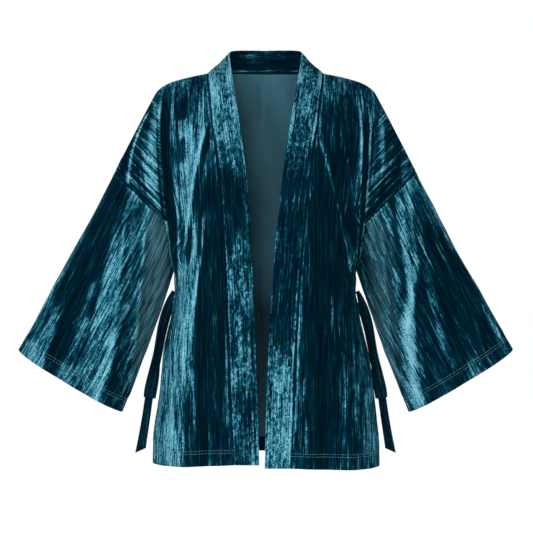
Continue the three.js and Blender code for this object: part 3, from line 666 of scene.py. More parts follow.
def panel(inner, outer, top, across, at):
    """Grid of a body panel from its inner line to its side seam and armhole, a row for each place in at."""
    share = across[None, :] * np.ones((len(at), 1))
    rise = np.clip(at - 1, 0, 1)[:, None]
    open_up = ease(rise * SQUARE_RISE)
    angle = share * math.pi / 2
    level = (1 + np.cos(math.pi * share)) / 2
    wide = mix(np.sin(angle) ** (2 / FULLNESS), share, open_up)
    deep = mix(np.clip(np.cos(angle), 0, 1) ** (2 / FULLNESS), level, open_up)
    start = inner(at)[:, None, :]
    end = outer(at)[:, None, :]
    grid = points(
        mix(start[..., 0], end[..., 0], wide),
        mix(end[..., 1], start[..., 1], deep),
        mix(start[..., 2], end[..., 2], wide),
    )
    reach = np.minimum(1, (1 - rise) * CORNER_EASE) * np.minimum(share, 1 - share)
    steps = range(-EASE_STEPS, EASE_STEPS + 1)
    eased = sum(top(share + reach * step / EASE_STEPS) for step in steps) / len(steps)
    neck = inner(np.array([2.0]))[0]
    arm = outer(np.array([2.0]))[0]
    turn = math.pi * (2 - at)[:, None] / 2
    upright = np.where(rise > 0, np.cos(turn) ** 2, 0)
    forward = np.where(rise > 0, np.clip(1 - np.sin(turn), 0, 1) ** BLADE, 0)
    grid[..., 0] += upright * (eased[..., 0] - mix(neck[0], arm[0], share))
    grid[..., 1] += forward * (eased[..., 1] - mix(arm[1], neck[1], level))
    grid[..., 2] += upright * (eased[..., 2] - mix(neck[2], arm[2], share))
    pinch = WAIST_PINCH["depth"] * bell(grid[..., 2] - WAIST_PINCH["z"], WAIST_PINCH["height"])
    grid[..., 0] -= np.sign(grid[..., 0]) * pinch * share ** WAIST_PINCH["reach"]
    return grid


# Folds, creases and strokes, which all run down a path

def between_ends(z, row):
    """1 between a row's top and foot, and less over its fade at both."""
    return ease((row["top"] - z) / row["fade"]) * ease((z - row["foot"]) / row["fade"])


def along_path(grid, row):
    """How strongly one row of a table of folds or strokes acts on the points of a grid."""
    z = grid[..., 2]
    down = np.clip((row["top"] - z) / (row["top"] - row["foot"]), 0, 1)
    path = (
        row["x0"] * (1 - down) * (1 - 2 * down)
        + 4 * row["x1"] * down * (1 - down)
        + row["x2"] * down * (2 * down - 1)
    )
    off = grid[..., 0] - path
    return bell(off, np.where(off < 0, row["left"], row["right"])) * between_ends(z, row)


def folded(grid, folds, facing, hold):
    """The grid moved by the folds that pass it. facing is -1 on the front, and hold is 0 on a seam."""
    moved = grid.copy()
    for row in folds:
        strength = along_path(grid, row) * hold
        moved[..., 0] += row["lean"] * strength
        moved[..., 1] += facing * row["push"] * strength
    return moved


def armhole_pleats(sign):
    """The pleats beside one armhole, as rows that are both folds and strokes."""
    lean = (SLEEVE_TOP[0] - UNDERARM[0]) / (SLEEVE_TOP[2] - UNDERARM[2])
    pleats = []
    for row in ARMHOLE_PLEATS:
        ends = [SLEEVE_TOP[0] - row["off"] + lean * (z - SLEEVE_TOP[2]) for z in (row["top"], row["foot"])]
        pleats.append(dict(
            row, x0=sign * ends[0], x1=sign * (ends[0] + ends[1]) / 2, x2=sign * ends[1],
            left=row["flank"], right=row["flank"], lean=0, fade=PLEATS_FADE,
        ))
    return pleats


def upper_arm(grid, column):
    """How far each point lies past a line of the upper arm, outwards."""
    return np.abs(grid[..., 0]) - read(UPPER_ARM, "z", column, grid[..., 2])


def turned_grain(grid, uv):
    """The grain's places, with the upper arms' turned so that their crinkles run along the armhole."""
    side = np.sign(grid[..., 0])
    past = np.where(side < 0, upper_arm(grid, "right"), upper_arm(grid, "left"))
    down = np.array([UNDERARM[0] - SLEEVE_TOP[0], UNDERARM[2] - SLEEVE_TOP[2]], float)
    down /= np.linalg.norm(down)
    x = np.abs(grid[..., 0]) - SLEEVE_TOP[0]
    high = grid[..., 2] - SLEEVE_TOP[2]
    off = x * down[1] - high * down[0]
    along = x * down[0] + high * down[1]
    turned = np.stack([side * (UPPER_ARM_GRAIN[0] + off), UPPER_ARM_GRAIN[1] + along], axis=-1)
    return np.where(((past > 0) & (grid[..., 2] > UPPER_ARM["z"][0]))[..., None], turned, uv)


def stroked(grid, strokes):
    return sum(row["tone"] * along_path(grid, row) for row in strokes)


def pleated(grid, sides, facing, hold):
    """The grid with the pleats beside its armholes, and the painted highlight and shade on them."""
    pile_and_painted_light = 0
    for sign in sides:
        pleats = armhole_pleats(sign)
        grid = folded(grid, pleats, facing, hold)
        pile_and_painted_light = pile_and_painted_light + stroked(grid, pleats)
    return grid, pile_and_painted_light


def cloudy(across, along, seed):
    """Smooth uneven value from -1 to 1 over a plane."""
    size = 256
    lattice = np.random.default_rng(seed).uniform(-1, 1, (size, size))
    column = np.floor(across).astype(int)
    row = np.floor(along).astype(int)
    u = ease(across - column)
    v = ease(along - row)
    near = mix(lattice[column % size, row % size], lattice[(column + 1) % size, row % size], u)
    far = mix(lattice[column % size, (row + 1) % size], lattice[(column + 1) % size, (row + 1) % size], u)
    return mix(near, far, v)


def uneven(pattern, u, v):
    """Uneven value from -1 to 1 whose patches are as wide and as long as a pattern says."""
    return cloudy(u / pattern["across"], v / pattern["along"], pattern["seed"])


def crinkled(grid, outward, uv, hold, closed=False):
    """The grid raised by its crinkles and by the cloth's unevenness, both by their place in the cut."""
    u = uv[..., 0]
    v = uv[..., 1]
    bend = CRINKLE_BENDS["push"] * uneven(CRINKLE_BENDS, u, v)
    height = DRIFT["height"] * uneven(DRIFT, u, v)
    for row in CRINKLES:
        height = height + row["height"] * (1 - CRINKLE_DEPTH * np.abs(uneven(row, u + bend, v)))
    return grid + normals_of(grid, outward, closed) * (height * hold)[..., None]


# Grids and walls

def lengths_along(grid, axis):
    steps = np.linalg.norm(np.diff(grid, axis=axis), axis=-1)
    start = np.zeros_like(np.take(steps, [0], axis=axis))
    return np.concatenate([start, np.cumsum(steps, axis=axis)], axis=axis)


def spaced(line, shares, spacing):
    """Shares of a line at an even spacing, with closer ones beside its two ends."""
    lengths = lengths_along(line[None], 1)[0]
    beside = np.array(EDGE_STEPS)
    count = round((lengths[-1] - 2 * beside[-1]) / spacing)
    middle = np.linspace(beside[-1], lengths[-1] - beside[-1], count + 1)
    places = np.concatenate([beside[:-1], middle, lengths[-1] - beside[-2::-1]])
    return np.interp(places, lengths, shares)


def normals_of(grid, outward, closed=False):
    """Unit normals of a grid, turned so that they point out."""
    if closed:
        wrapped = np.concatenate([grid[:, -2:-1], grid, grid[:, 1:2]], axis=1)
        across = wrapped[:, 2:] - wrapped[:, :-2]
    else:
        across = np.gradient(grid, axis=1)
    along = np.gradient(grid, axis=0)
    normal = np.cross(across, along) * outward
    return normal / np.maximum(np.linalg.norm(normal, axis=-1, keepdims=True), 1e-9)


@dataclass(eq=False)
class Wall:
    """Closed wall of cloth over a grid of points on its outer face.

    ends says what each of its four edges is: a seam, a join or a free edge. thick is the cloth's thickness.
    within_pile_and_painted_light is how the nap lies on the inner face, where that differs; on both faces
    this carries painted highlights and shade, such as the painted shade inside the back. turned_up marks the
    rows whose inner face is velvet too.
    """

    name: str
    grid: np.ndarray
    outward: int
    ends: dict
    thick: np.ndarray | float
    uv: np.ndarray
    pile_and_painted_light: np.ndarray
    within_pile_and_painted_light: np.ndarray | None = None
    ribs: np.ndarray | float = 0
    turned_up: np.ndarray | bool = False
    closed: bool = False

    def over_grid(self, value):
        return value * np.ones(self.grid.shape[:2])

    def edge_distances(self):
        down = lengths_along(self.grid, 0)
        over = lengths_along(self.grid, 1)
        return {
            "first row": down,
            "last row": down[-1:] - down,
            "first column": over,
            "last column": over[:, -1:] - over,
        }

    def faces_in_depth(self):
        """Depth of the outer and inner faces below the grid: seams turn in and free edges are round."""
        outer = self.over_grid(0)
        thick = self.over_grid(self.thick)
        inner = thick.copy()
        for edge, distance in self.edge_distances().items():
            kind = self.ends[edge]
            if kind in SEAM_ROLL:
                outer = np.maximum(outer, SEAM_ROLL[kind] * bell(distance, SEAM_REACH))
            else:
                half = thick / 2
                near = np.clip(1 - distance / half, 0, 1)
                sink = EDGE_ROUND * half * (1 - np.sqrt(1 - near ** 2))
                outer = np.maximum(outer, sink)
                inner = np.minimum(inner, thick - sink)
        return outer, inner

    def painted_seam_shade_and_highlight(self):
        """Painted shade in the groove of a seam, and a painted highlight just beside it."""
        painted_shade_and_highlight = self.over_grid(0)
        for edge, distance in self.edge_distances().items():
            if self.ends[edge] == "seam":
                painted_shade_and_highlight += SEAM_PAINTED_SHADE_AND_HIGHLIGHT["groove"] * bell(distance, SEAM_PAINTED_SHADE_AND_HIGHLIGHT["wide"])
                painted_shade_and_highlight += SEAM_PAINTED_SHADE_AND_HIGHLIGHT["shoulder"] * bell(distance - SEAM_PAINTED_SHADE_AND_HIGHLIGHT["off"], SEAM_PAINTED_SHADE_AND_HIGHLIGHT["spread"])
        return painted_shade_and_highlight

    def tucked(self, normals):
        """The grid with its seam edges run on under the neighbouring pieces."""
        moved = self.grid.copy()
        for edge, (line, beside) in EDGE_LINES.items():
            if self.ends[edge] in SEAM_ROLL and not (self.closed and "column" in edge):
                away = self.grid[beside] - self.grid[line]
                flat = away - normals[line] * np.sum(away * normals[line], axis=-1, keepdims=True)
                moved[line] -= SEAM_TUCK * flat / np.linalg.norm(flat, axis=-1, keepdims=True)
        return moved

    def build(self, materials):
        normals = normals_of(self.grid, self.outward, self.closed)
        moved = self.tucked(normals)
        rows, columns = self.grid.shape[:2]
        kept = columns - 1 if self.closed else columns
        faces = [moved - normals * depth[..., None] for depth in self.faces_in_depth()]
        index = np.arange(rows * kept).reshape(rows, kept)
        if self.closed:
            index = np.concatenate([index, index[:, :1]], axis=1)
        uv = self.uv * MM
        quads = []
        uvs = []
        slots = []

        def strip(corners, slot, turned):
            """Adds the quads between four corners, each given by its rows, its columns and its face."""
            order = (corners[0], *corners[:0:-1]) if turned else corners
            picked = [index[down, over] + face for down, over, face in order]
            quads.append(np.stack([corner.ravel() for corner in picked], axis=-1))
            uvs.append(np.stack([uv[down, over].reshape(-1, 2) for down, over, face in order], axis=1))
            slots.append(np.broadcast_to(slot, picked[0].shape).ravel())

        low = slice(None, -1)
        high = slice(1, None)
        behind = rows * kept
        flip = self.outward < 0
        turned_up = self.over_grid(np.reshape(self.turned_up, (-1, 1)))
        inside = np.where(turned_up[:-1, :-1] > 0, 0, 1)
        for face, slot, turned in ((0, 0, flip), (behind, inside, not flip)):
            strip([(low, low, face), (low, high, face), (high, high, face), (high, low, face)], slot, turned)
        for row, turned in ((0, not flip), (rows - 1, flip)):
            line = slice(row, row + 1)
            strip([(line, low, 0), (line, high, 0), (line, high, behind), (line, low, behind)], 0, turned)
        if not self.closed:
            for column, turned in ((0, flip), (columns - 1, not flip)):
                line = slice(column, column + 1)
                corners = [(low, line, 0), (high, line, 0), (high, line, behind), (low, line, behind)]
                strip(corners, 0, turned)
        vertices = np.concatenate([face[:, :kept].reshape(-1, 3) for face in faces]) * MM
        made = mesh_object(self.name, vertices, *(np.concatenate(part) for part in (quads, uvs, slots)))
        # The seams' painted shade and painted highlight join the tone on both faces.
        painted_shade_and_highlight = self.painted_seam_shade_and_highlight()
        within = self.pile_and_painted_light if self.within_pile_and_painted_light is None else self.within_pile_and_painted_light
        spread(made, "pile_and_painted_light", np.stack([self.pile_and_painted_light + painted_shade_and_highlight, within + painted_shade_and_highlight])[..., :kept])
        spread(made, "ribs", np.stack([self.over_grid(self.ribs)] * 2)[..., :kept])
        for material in materials:
            made.data.materials.append(material)
        return made


def placed(name, data):
    """A new object of the scene."""
    made = bpy.data.objects.new(name, data)
    bpy.context.scene.collection.objects.link(made)
    return made


def mesh_object(name, vertices, quads, uvs=None, slots=None):
    mesh = bpy.data.meshes.new(name)
    mesh.vertices.add(len(vertices))
    mesh.vertices.foreach_set("co", vertices.astype(np.float32).ravel())
    mesh.loops.add(quads.size)
    mesh.loops.foreach_set("vertex_index", quads.astype(np.int32).ravel())
    mesh.polygons.add(len(quads))
    mesh.polygons.foreach_set("loop_start", np.arange(0, quads.size, quads.shape[1], dtype=np.int32))
    if slots is not None:
        mesh.polygons.foreach_set("material_index", slots.astype(np.int32))
    mesh.update(calc_edges=True)
    if uvs is not None:
        layer = mesh.uv_layers.new(name="grain")
        layer.data.foreach_set("uv", uvs.astype(np.float32).ravel())
    mesh.validate()
    mesh.shade_smooth()
    return placed(name, mesh)


def spread(piece, name, values):
    """Keeps one number for each vertex of a piece."""
    attribute = piece.data.attributes.new(name, "FLOAT", "POINT")
    attribute.data.foreach_set("value", values.astype(np.float32).ravel())


# The garment's panels

def flatter_hem(height):
    """Share of the crinkles' height that is left where a hem is turned up, at heights above its edge."""
    return mix(FLAT_HEM["share"], 1, ease((height - HEM) / FLAT_HEM["fade"]))[:, None]


def cloth_thickness(height):
    """Thickness at heights above a hem's edge, doubled where the hem is turned up."""
    return (CLOTH * (2 - ease((height - HEM) / HEM_STEP)))[:, None]


def panel_lines(lines, piece):
    """Places up a body panel and shares across it, evenly spaced along a column and a row of it."""
    spacing = SPACING[piece]
    up = np.linspace(0, 2, DENSE["up"])
    over = np.linspace(0, 1, DENSE[piece])
    column = panel(*lines, np.array([GUIDE["column"]]), up)[:, 0]
    row = panel(*lines, over, np.array([GUIDE["row"]]))[0]
    return spaced(column, up, spacing), spaced(row, over, spacing)


def panel_hold(share, at, beside):
    """How freely a body panel folds: 0 on its side seam and its shoulder."""
    return ease((1 - share) * beside["side seam"]) * ease((2 - at)[:, None] * beside["shoulder"])


def cut_of(grid, start_u):
    """Place of each point in the cut, across and along the grain."""
    level = grid.copy()
    level[..., 2] = 0
    u = start_u[:, None] + lengths_along(level, 1)
    v = lengths_along(grid, 0)
    middle = v[:, v.shape[1] // 2][:, None]
    return np.stack([u, mix(v, middle, 0.5)], axis=-1)


def pile_and_painted_light_of(grid, smooth, outward, closed, uv, strokes, lit):
    """How the nap lies, with painted light: placed strokes, partly painted highlights and shade, slow
    patches along the grain, and a painted highlight on flanks of folds turned to the light, painted shade on
    the others.

    lit is the side, along x, to which the painted highlight on the flanks turns.
    """
    patches = PILE_PATCHES["tone"] * uneven(PILE_PATCHES, uv[..., 0], uv[..., 1])
    turned = normals_of(grid, outward, closed)[..., 0] - smooth[..., 0]
    painted_flank_light = PAINTED_FLANK_LIGHT["tone"] * np.tanh(lit * turned / PAINTED_FLANK_LIGHT["turn"])
    return stroked(grid, strokes) + patches + painted_flank_light


def front(sign):
    lines = (
        partial(band_point, BAND_SEAM, sign=sign),
        partial(outer_point, facing=-1, sign=sign),
        partial(line_point, SHOULDER, sign=sign),
    )
    at, across = panel_lines(lines, "front")
    grid = panel(*lines, across, at)
    smooth = normals_of(grid, sign)
    share = across[None, :]
    uv = cut_of(grid, np.abs(grid[:, 0, 0]))
    uv[..., 0] = sign * uv[..., 0]
    hold = panel_hold(share, at, FOLDS_BESIDE) * ease(share * FOLDS_BESIDE["front edge"])
    grid = folded(grid, FRONT_FOLDS, -1, hold)
    close = panel_hold(share, at, CREASES_BESIDE) * ease(share * CREASES_BESIDE["front edge"])
    grid = folded(grid, FRONT_CREASES, -1, close)
    within = ease(0.5 - upper_arm(grid, "outer") / PLEATS_END)
    grid, pleats = pleated(grid, (sign,), -1, close * within)
    height = at * BODY_LONG
    grid = crinkled(grid, sign, uv, close * flatter_hem(height))
    return Wall(
        f"front_{SIDE[sign]}_velvet", grid, sign, BODY_ENDS, cloth_thickness(height), turned_grain(grid, uv),
        pile_and_painted_light_of(grid, smooth, sign, False, uv, FRONT_PILE_AND_PAINTED_LIGHT, FRONT_PAINTED_LIGHT_SIDE[sign]) + pleats * within,
        turned_up=height < HEM,
    )


def back():
    halves = {
        sign: (centre_back_point, partial(outer_point, facing=1, sign=sign), partial(back_top, sign=sign))
        for sign in (RIGHT, LEFT)
    }
    at, across = panel_lines(halves[RIGHT], "back")
    across = np.concatenate([[0.0], across[len(EDGE_STEPS) - 1:]])
    right, left = (panel(*halves[sign], across, at) for sign in (RIGHT, LEFT))
    grid = np.concatenate([right[:, :0:-1], left], axis=1)
    smooth = normals_of(grid, -1)
    share = np.concatenate([across[:0:-1], across])[None, :]
    uv = cut_of(grid, np.zeros(len(at)))
    middle = grid.shape[1] // 2
    uv[..., 0] -= uv[:, middle:middle + 1, 0]
    shift = np.array([GRAIN_SHIFT["back"], 0])
    grid = folded(grid, BACK_FOLDS, 1, panel_hold(share, at, FOLDS_BESIDE))
    close = panel_hold(share, at, CREASES_BESIDE)
    grid = folded(grid, BACK_CREASES, 1, close)
    grid, pleats = pleated(grid, (RIGHT, LEFT), 1, close)
    height = at * BODY_LONG
    grid = crinkled(grid, -1, uv + shift, close * flatter_hem(height))
    return Wall(
        "back_velvet", grid, -1, BODY_ENDS, cloth_thickness(height), turned_grain(grid, uv) + shift,
        pile_and_painted_light_of(grid, smooth, -1, False, uv, BACK_PILE_AND_PAINTED_LIGHT, 1) + pleats,
        within_pile_and_painted_light=stroked(grid, BACK_WITHIN_PAINTED_LIGHT_AND_SHADE), turned_up=height < HEM,
    )


def sleeve(sign):
    spacing = SPACING["sleeve"]
    dense = np.linspace(0, 1, DENSE["sleeve"])
    at = spaced(sleeve_point(dense, math.pi / 2, -1, sign), dense, spacing)
    turns = np.linspace(-math.pi, math.pi, DENSE["ring"])
    ring = sleeve_point(GUIDE["ring"], np.abs(turns), np.where(turns < 0, 1, -1), sign)
    turn = spaced(ring, turns, spacing)[None, :]
    behind = turn < 0
    angle = np.abs(turn)
    down = at[:, None]
    grid = sleeve_point(down, angle, np.where(behind, 1, -1), sign)
    smooth = normals_of(grid, sign, True)
    u = lengths_along(grid, 1)
    top = np.argmin(angle[0])
    uv = np.stack([u - u[:, top:top + 1], down * SLEEVE_LENGTH * np.ones_like(u)], axis=-1)
    shift = np.array([sign * GRAIN_SHIFT["sleeve"], 0])
    for beside, fronts, backs in (
        (FOLDS_BESIDE, SLEEVE_FRONT_FOLDS, SLEEVE_BACK_FOLDS),
        (CREASES_BESIDE, SLEEVE_CREASES, SLEEVE_CREASES),
    ):
        hold = ease(down * beside["armhole"]) * ease(np.sin(angle) * beside["sleeve sides"])
        grid = np.where(behind[..., None], folded(grid, backs, 1, hold), folded(grid, fronts, -1, hold))
    small = ease(down * CRINKLES_BESIDE["armhole"]) * ease((math.pi - angle) * CRINKLES_BESIDE["underarm"])
    height = (1 - at) * SLEEVE_LENGTH
    grid = crinkled(grid, sign, uv + shift, small * flatter_hem(height), True)
    pile_and_painted_light = pile_and_painted_light_of(grid, smooth, sign, True, uv, SLEEVE_PILE_AND_PAINTED_LIGHT, np.where(behind, 1, -1))
    return Wall(
        f"sleeve_{SIDE[sign]}_velvet", grid, sign,
        {"first row": "seam", "last row": "free", "first column": "seam", "last column": "seam"},
        cloth_thickness(height), uv + shift, pile_and_painted_light * np.where(behind, STROKES_BEHIND, 1),
        ribs=stroked(grid, SLEEVE_RIBS), turned_up=height < HEM, closed=True,
    )


def neckband(sign):
    dense = np.linspace(0, 3, DENSE["neckband"])
    at = spaced(band_point(BAND_SEAM, dense, sign), dense, SPACING["neckband"])
    seam = band_point(BAND_SEAM, at, sign)[:, None, :]
    edge = band_point(BAND_EDGE, at, sign)[:, None, :]
    width = np.array([[0, 0, 0], [BAND_WIDE, 0, 0]], float)
    share = spaced(width, np.array([0.0, 1.0]), SPACING["band width"])[None, :]
    grid = mix(seam, edge, share[..., None])
    v = lengths_along(grid, 0)[:, grid.shape[1] // 2][:, None] * np.ones_like(share)
    u = share * BAND_WIDE * np.ones_like(v) + sign * GRAIN_SHIFT["neckband"]
    hold = ease(share * BAND_HOLD["seam"]) * ease((1 - share) * BAND_HOLD["fold"])
    waves = uneven(BAND_WAVES, u, v)
    pulls = uneven(BAND_PULLS, u + BAND_PULLS["slant"] * v, v)
    bumps = uneven(BAND_BUMPS, u, v)
    height = BAND_WAVES["height"] * waves + BAND_PULLS["height"] * (1 - 2 * np.abs(pulls))
    height = hold * (height + BAND_BUMPS["height"] * bumps)
    grid = grid + normals_of(grid, -sign) * height[..., None]
    pile_and_painted_light = BAND_WAVES["tone"] * waves + BAND_BUMPS["tone"] * bumps
    for row in BAND_PILE:
        if row["side"] == sign:
            pile_and_painted_light = pile_and_painted_light + row["tone"] * between_ends(grid[..., 2], row)
    patches = uneven(BAND_WITHIN, grid[..., 0] + BAND_WITHIN["x"], grid[..., 2] + BAND_WITHIN["z"])
    within = BAND_WITHIN["tone"] * patches + BAND_WITHIN["level"] + BAND_BUMPS["within"] * bumps
    off = share * BAND_WIDE
    return Wall(
        f"neckband_{SIDE[sign]}_velvet", grid, -sign,
        {"first row": "free", "last row": "join", "first column": "seam", "last column": "free"},
        BAND, np.stack([u, v], axis=-1),
        # Painted highlight along the folded edge outside, and off the seam inside.
        pile_and_painted_light + BAND_PAINTED_HIGHLIGHT["fold"] * bell(BAND_WIDE - off, BAND_PAINTED_HIGHLIGHT["wide"]),
        within_pile_and_painted_light=within + BAND_PAINTED_HIGHLIGHT["seam"] * bell(off - BAND_PAINTED_HIGHLIGHT["off"], BAND_PAINTED_HIGHLIGHT["wide"]),
    )


# The ties

def squared(wave, power):
    """Half a wave, made squarer by a power below 1."""
    return np.sign(wave) * np.abs(wave) ** power / 2


def strap(name, rows, sign, slant, finish):
    """Flat strap with rounded edges and a pressed fold, through the rows of a table."""
    count = len(rows["side"])
    places = np.linspace(0, count - 1, (count - 1) * STRAP["steps"] + 1)
    numbered = dict(rows, at=np.arange(count, dtype=float))
    value = {column: read(numbered, "at", column, places) for column in STRAP_COLUMNS.split()}
    line = points(sign * value["side"], value["y"], value["z"])
    along_strap = lengths_along(line[None], 1)[0]
    sides = STRAP["sides"]
    angle = np.linspace(0, 2 * math.pi, sides, endpoint=False)
    wide = squared(np.cos(angle), STRAP["square across"])
    thick = squared(np.sin(angle), STRAP["square through"])
    crease = STRAP_CREASE["depth"] * bell(wide - STRAP_CREASE["at"], STRAP_CREASE["wide"])
    facing = Vector((0, -1, 0))
    rings = []
    for i, centre in enumerate(line):
        before = Vector(line[max(i - 1, 0)])
        along = (Vector(line[min(i + 1, len(line) - 1)]) - before).normalized()
        facing = (facing - along * facing.dot(along)).normalized()
        turned = facing.copy()
        turned.rotate(Quaternion(along, math.radians(sign * value["turn"][i])))
        across = np.array(turned.cross(along))
        last = slant * ease((i - len(line) + 1) / SLANT_STEPS + 1)
        length = np.array([along_strap[i] / STRAP_SWELL["along"]])
        soft = STRAP_SWELL["height"] * cloudy(length, STRAP_SWELL["line"], STRAP_SWELL["seed"])[0]
        rings.append(
            centre
            + across * (wide * value["wide"][i])[:, None]
            + np.array(turned) * ((thick * (1 - crease) + soft * (0.25 - wide ** 2)) * TIE)[:, None]
            + np.array(along) * (sign * wide * last)[:, None]
        )
    vertices = np.concatenate(rings)
    index = np.arange(len(vertices)).reshape(len(line), sides)
    around = np.concatenate([index, index[:, :1]], axis=1)
    quads = [around[:-1, :-1], around[:-1, 1:], around[1:, 1:], around[1:, :-1]]
    caps = []
    for row, order in ((0, -1), (len(line) - 1, 1)):
        for k in range(sides // 2 - 1):
            caps.append(index[row, [k, k + 1, sides - 2 - k, sides - 1 - k]][::order])
    quads = np.concatenate([np.stack(quads, axis=-1).reshape(-1, 4), np.array(caps)])
    under = np.where(np.sin(angle) < 0, STRAP["under"], 0)
    u = wide * STRAP["grain"] + under + sign * GRAIN_SHIFT["tie"]
    uv = points(u[None, :], along_strap[:, None], 0)[..., :2].reshape(-1, 2)
    made = mesh_object(name, vertices * MM, quads, uv[quads] * MM)
    # Painted highlight along the strap's rounded edges and its pressed fold.
    light = STRAP_PAINTED_HIGHLIGHT["edges"] * np.abs(2 * wide) ** STRAP_PAINTED_HIGHLIGHT["sharp"]
    light = light + STRAP_PAINTED_HIGHLIGHT["fold"] * bell(wide - STRAP_PAINTED_HIGHLIGHT["at"], STRAP_PAINTED_HIGHLIGHT["wide"])
    spread(made, "pile_and_painted_light", np.tile(light, len(line)))
    made.data.materials.append(finish)
    return made


# Node trees and shader maths

class Value:
    """A node's socket, which takes part in Python expressions."""

    def __init__(self, nodes, socket):
        self.nodes = nodes
        self.socket = socket

    def maths(self, operation, *values):
        return self.nodes.node("ShaderNodeMath", {"operation": operation}, dict(enumerate(values)))

    def __add__(self, other):
        return self.maths("ADD", self, other)

    def __sub__(self, other):
        return self.maths("SUBTRACT", self, other)

    def __rsub__(self, other):
        return self.maths("SUBTRACT", other, self)

    def __mul__(self, other):
        return self.maths("MULTIPLY", self, other)

    def __abs__(self):
        return self.maths("ABSOLUTE", self)

    def at_least(self, other):
        return self.maths("MAXIMUM", self, other)

    __radd__ = __add__
    __rmul__ = __mul__


class Nodes:
    """A node tree, with one method for every node."""

    def __init__(self, tree):
        self.tree = tree
        tree.nodes.clear()

    def node(self, kind, settings=None, values=None, output=0):
        made = self.tree.nodes.new(kind)
        for key, setting in (settings or {}).items():
            if key == "stops":
                self.set_stops(made.color_ramp, setting)
            else:
                setattr(made, key, setting)
        for key, value in (values or {}).items():
            if isinstance(value, Value):
                self.tree.links.new(value.socket, made.inputs[key])
            else:
                made.inputs[key].default_value = value
        return Value(self, made.outputs[output]) if made.outputs else made

    def set_stops(self, ramp, stops):
        while len(ramp.elements) > 1:
            ramp.elements.remove(ramp.elements[-1])
        for place, (at, colour) in enumerate(stops):
            element = ramp.elements[0] if place == 0 else ramp.elements.new(at)
            element.position = at
            element.color = (*colour, 1)


class Finish(Nodes):
    """One material, and the values and colours that it is made of."""

    def __init__(self, name):
        self.material = bpy.data.materials.new(name)
        self.material.use_nodes = True
        super().__init__(self.material.node_tree)

    def grain(self):
        return self.node("ShaderNodeUVMap", {"uv_map": "grain"})

    def attribute(self, name):
        return self.node("ShaderNodeAttribute", {"attribute_name": name}, output=2)

    def noise(self, place, across, along, detail, rough=0.5, warp=0.0):
        """Uneven value whose patches are so many millimetres across and along the grain."""
        scaled = self.node("ShaderNodeMapping", {"vector_type": "TEXTURE"},
                           {"Vector": place, "Scale": (across * MM, along * MM, 1)})
        return self.node("ShaderNodeTexNoise", {"noise_dimensions": "2D"}, {
            "Vector": scaled, "Scale": 1.0, "Detail": detail, "Roughness": rough, "Distortion": warp,
        })

    def between(self, value, low, high):
        return self.node("ShaderNodeMapRange", {"interpolation_type": "SMOOTHSTEP"},
                         {0: value, 1: low, 2: high, 3: 0.0, 4: 1.0})

    def lines(self, place, across, along, width):
        """Thin lines along the grain, where an uneven value passes its middle."""
        return 1 - self.between(abs(self.noise(place, across, along, 1.0) - 0.5), 0.0, width)

    def ramp(self, value, stops):
        return self.node("ShaderNodeValToRGB", {"stops": stops}, {0: value})

    def blend(self, share, first, second):
        return self.node("ShaderNodeMix", {"data_type": "RGBA", "clamp_factor": True},
                         {0: share, 6: first, 7: second}, output=2)

    def finish(self, colour, roughness, height, distance, sheen, sheen_roughness, gloss):
        """The material, with its relief as deep as distance in millimetres."""
        bump = self.node("ShaderNodeBump", None,
                         {"Strength": 1.0, "Distance": distance * MM, "Height": height})
        shader = self.node("ShaderNodeBsdfPrincipled", None, {
            "Base Color": colour,
            "Roughness": roughness,
            "Specular IOR Level": gloss,
            "Sheen Weight": sheen,
            "Sheen Roughness": sheen_roughness,
            "Sheen Tint": SHEEN_TINT,
            "Normal": bump,
        })
        self.node("ShaderNodeOutputMaterial", None, {"Surface": shader})
        return self.material


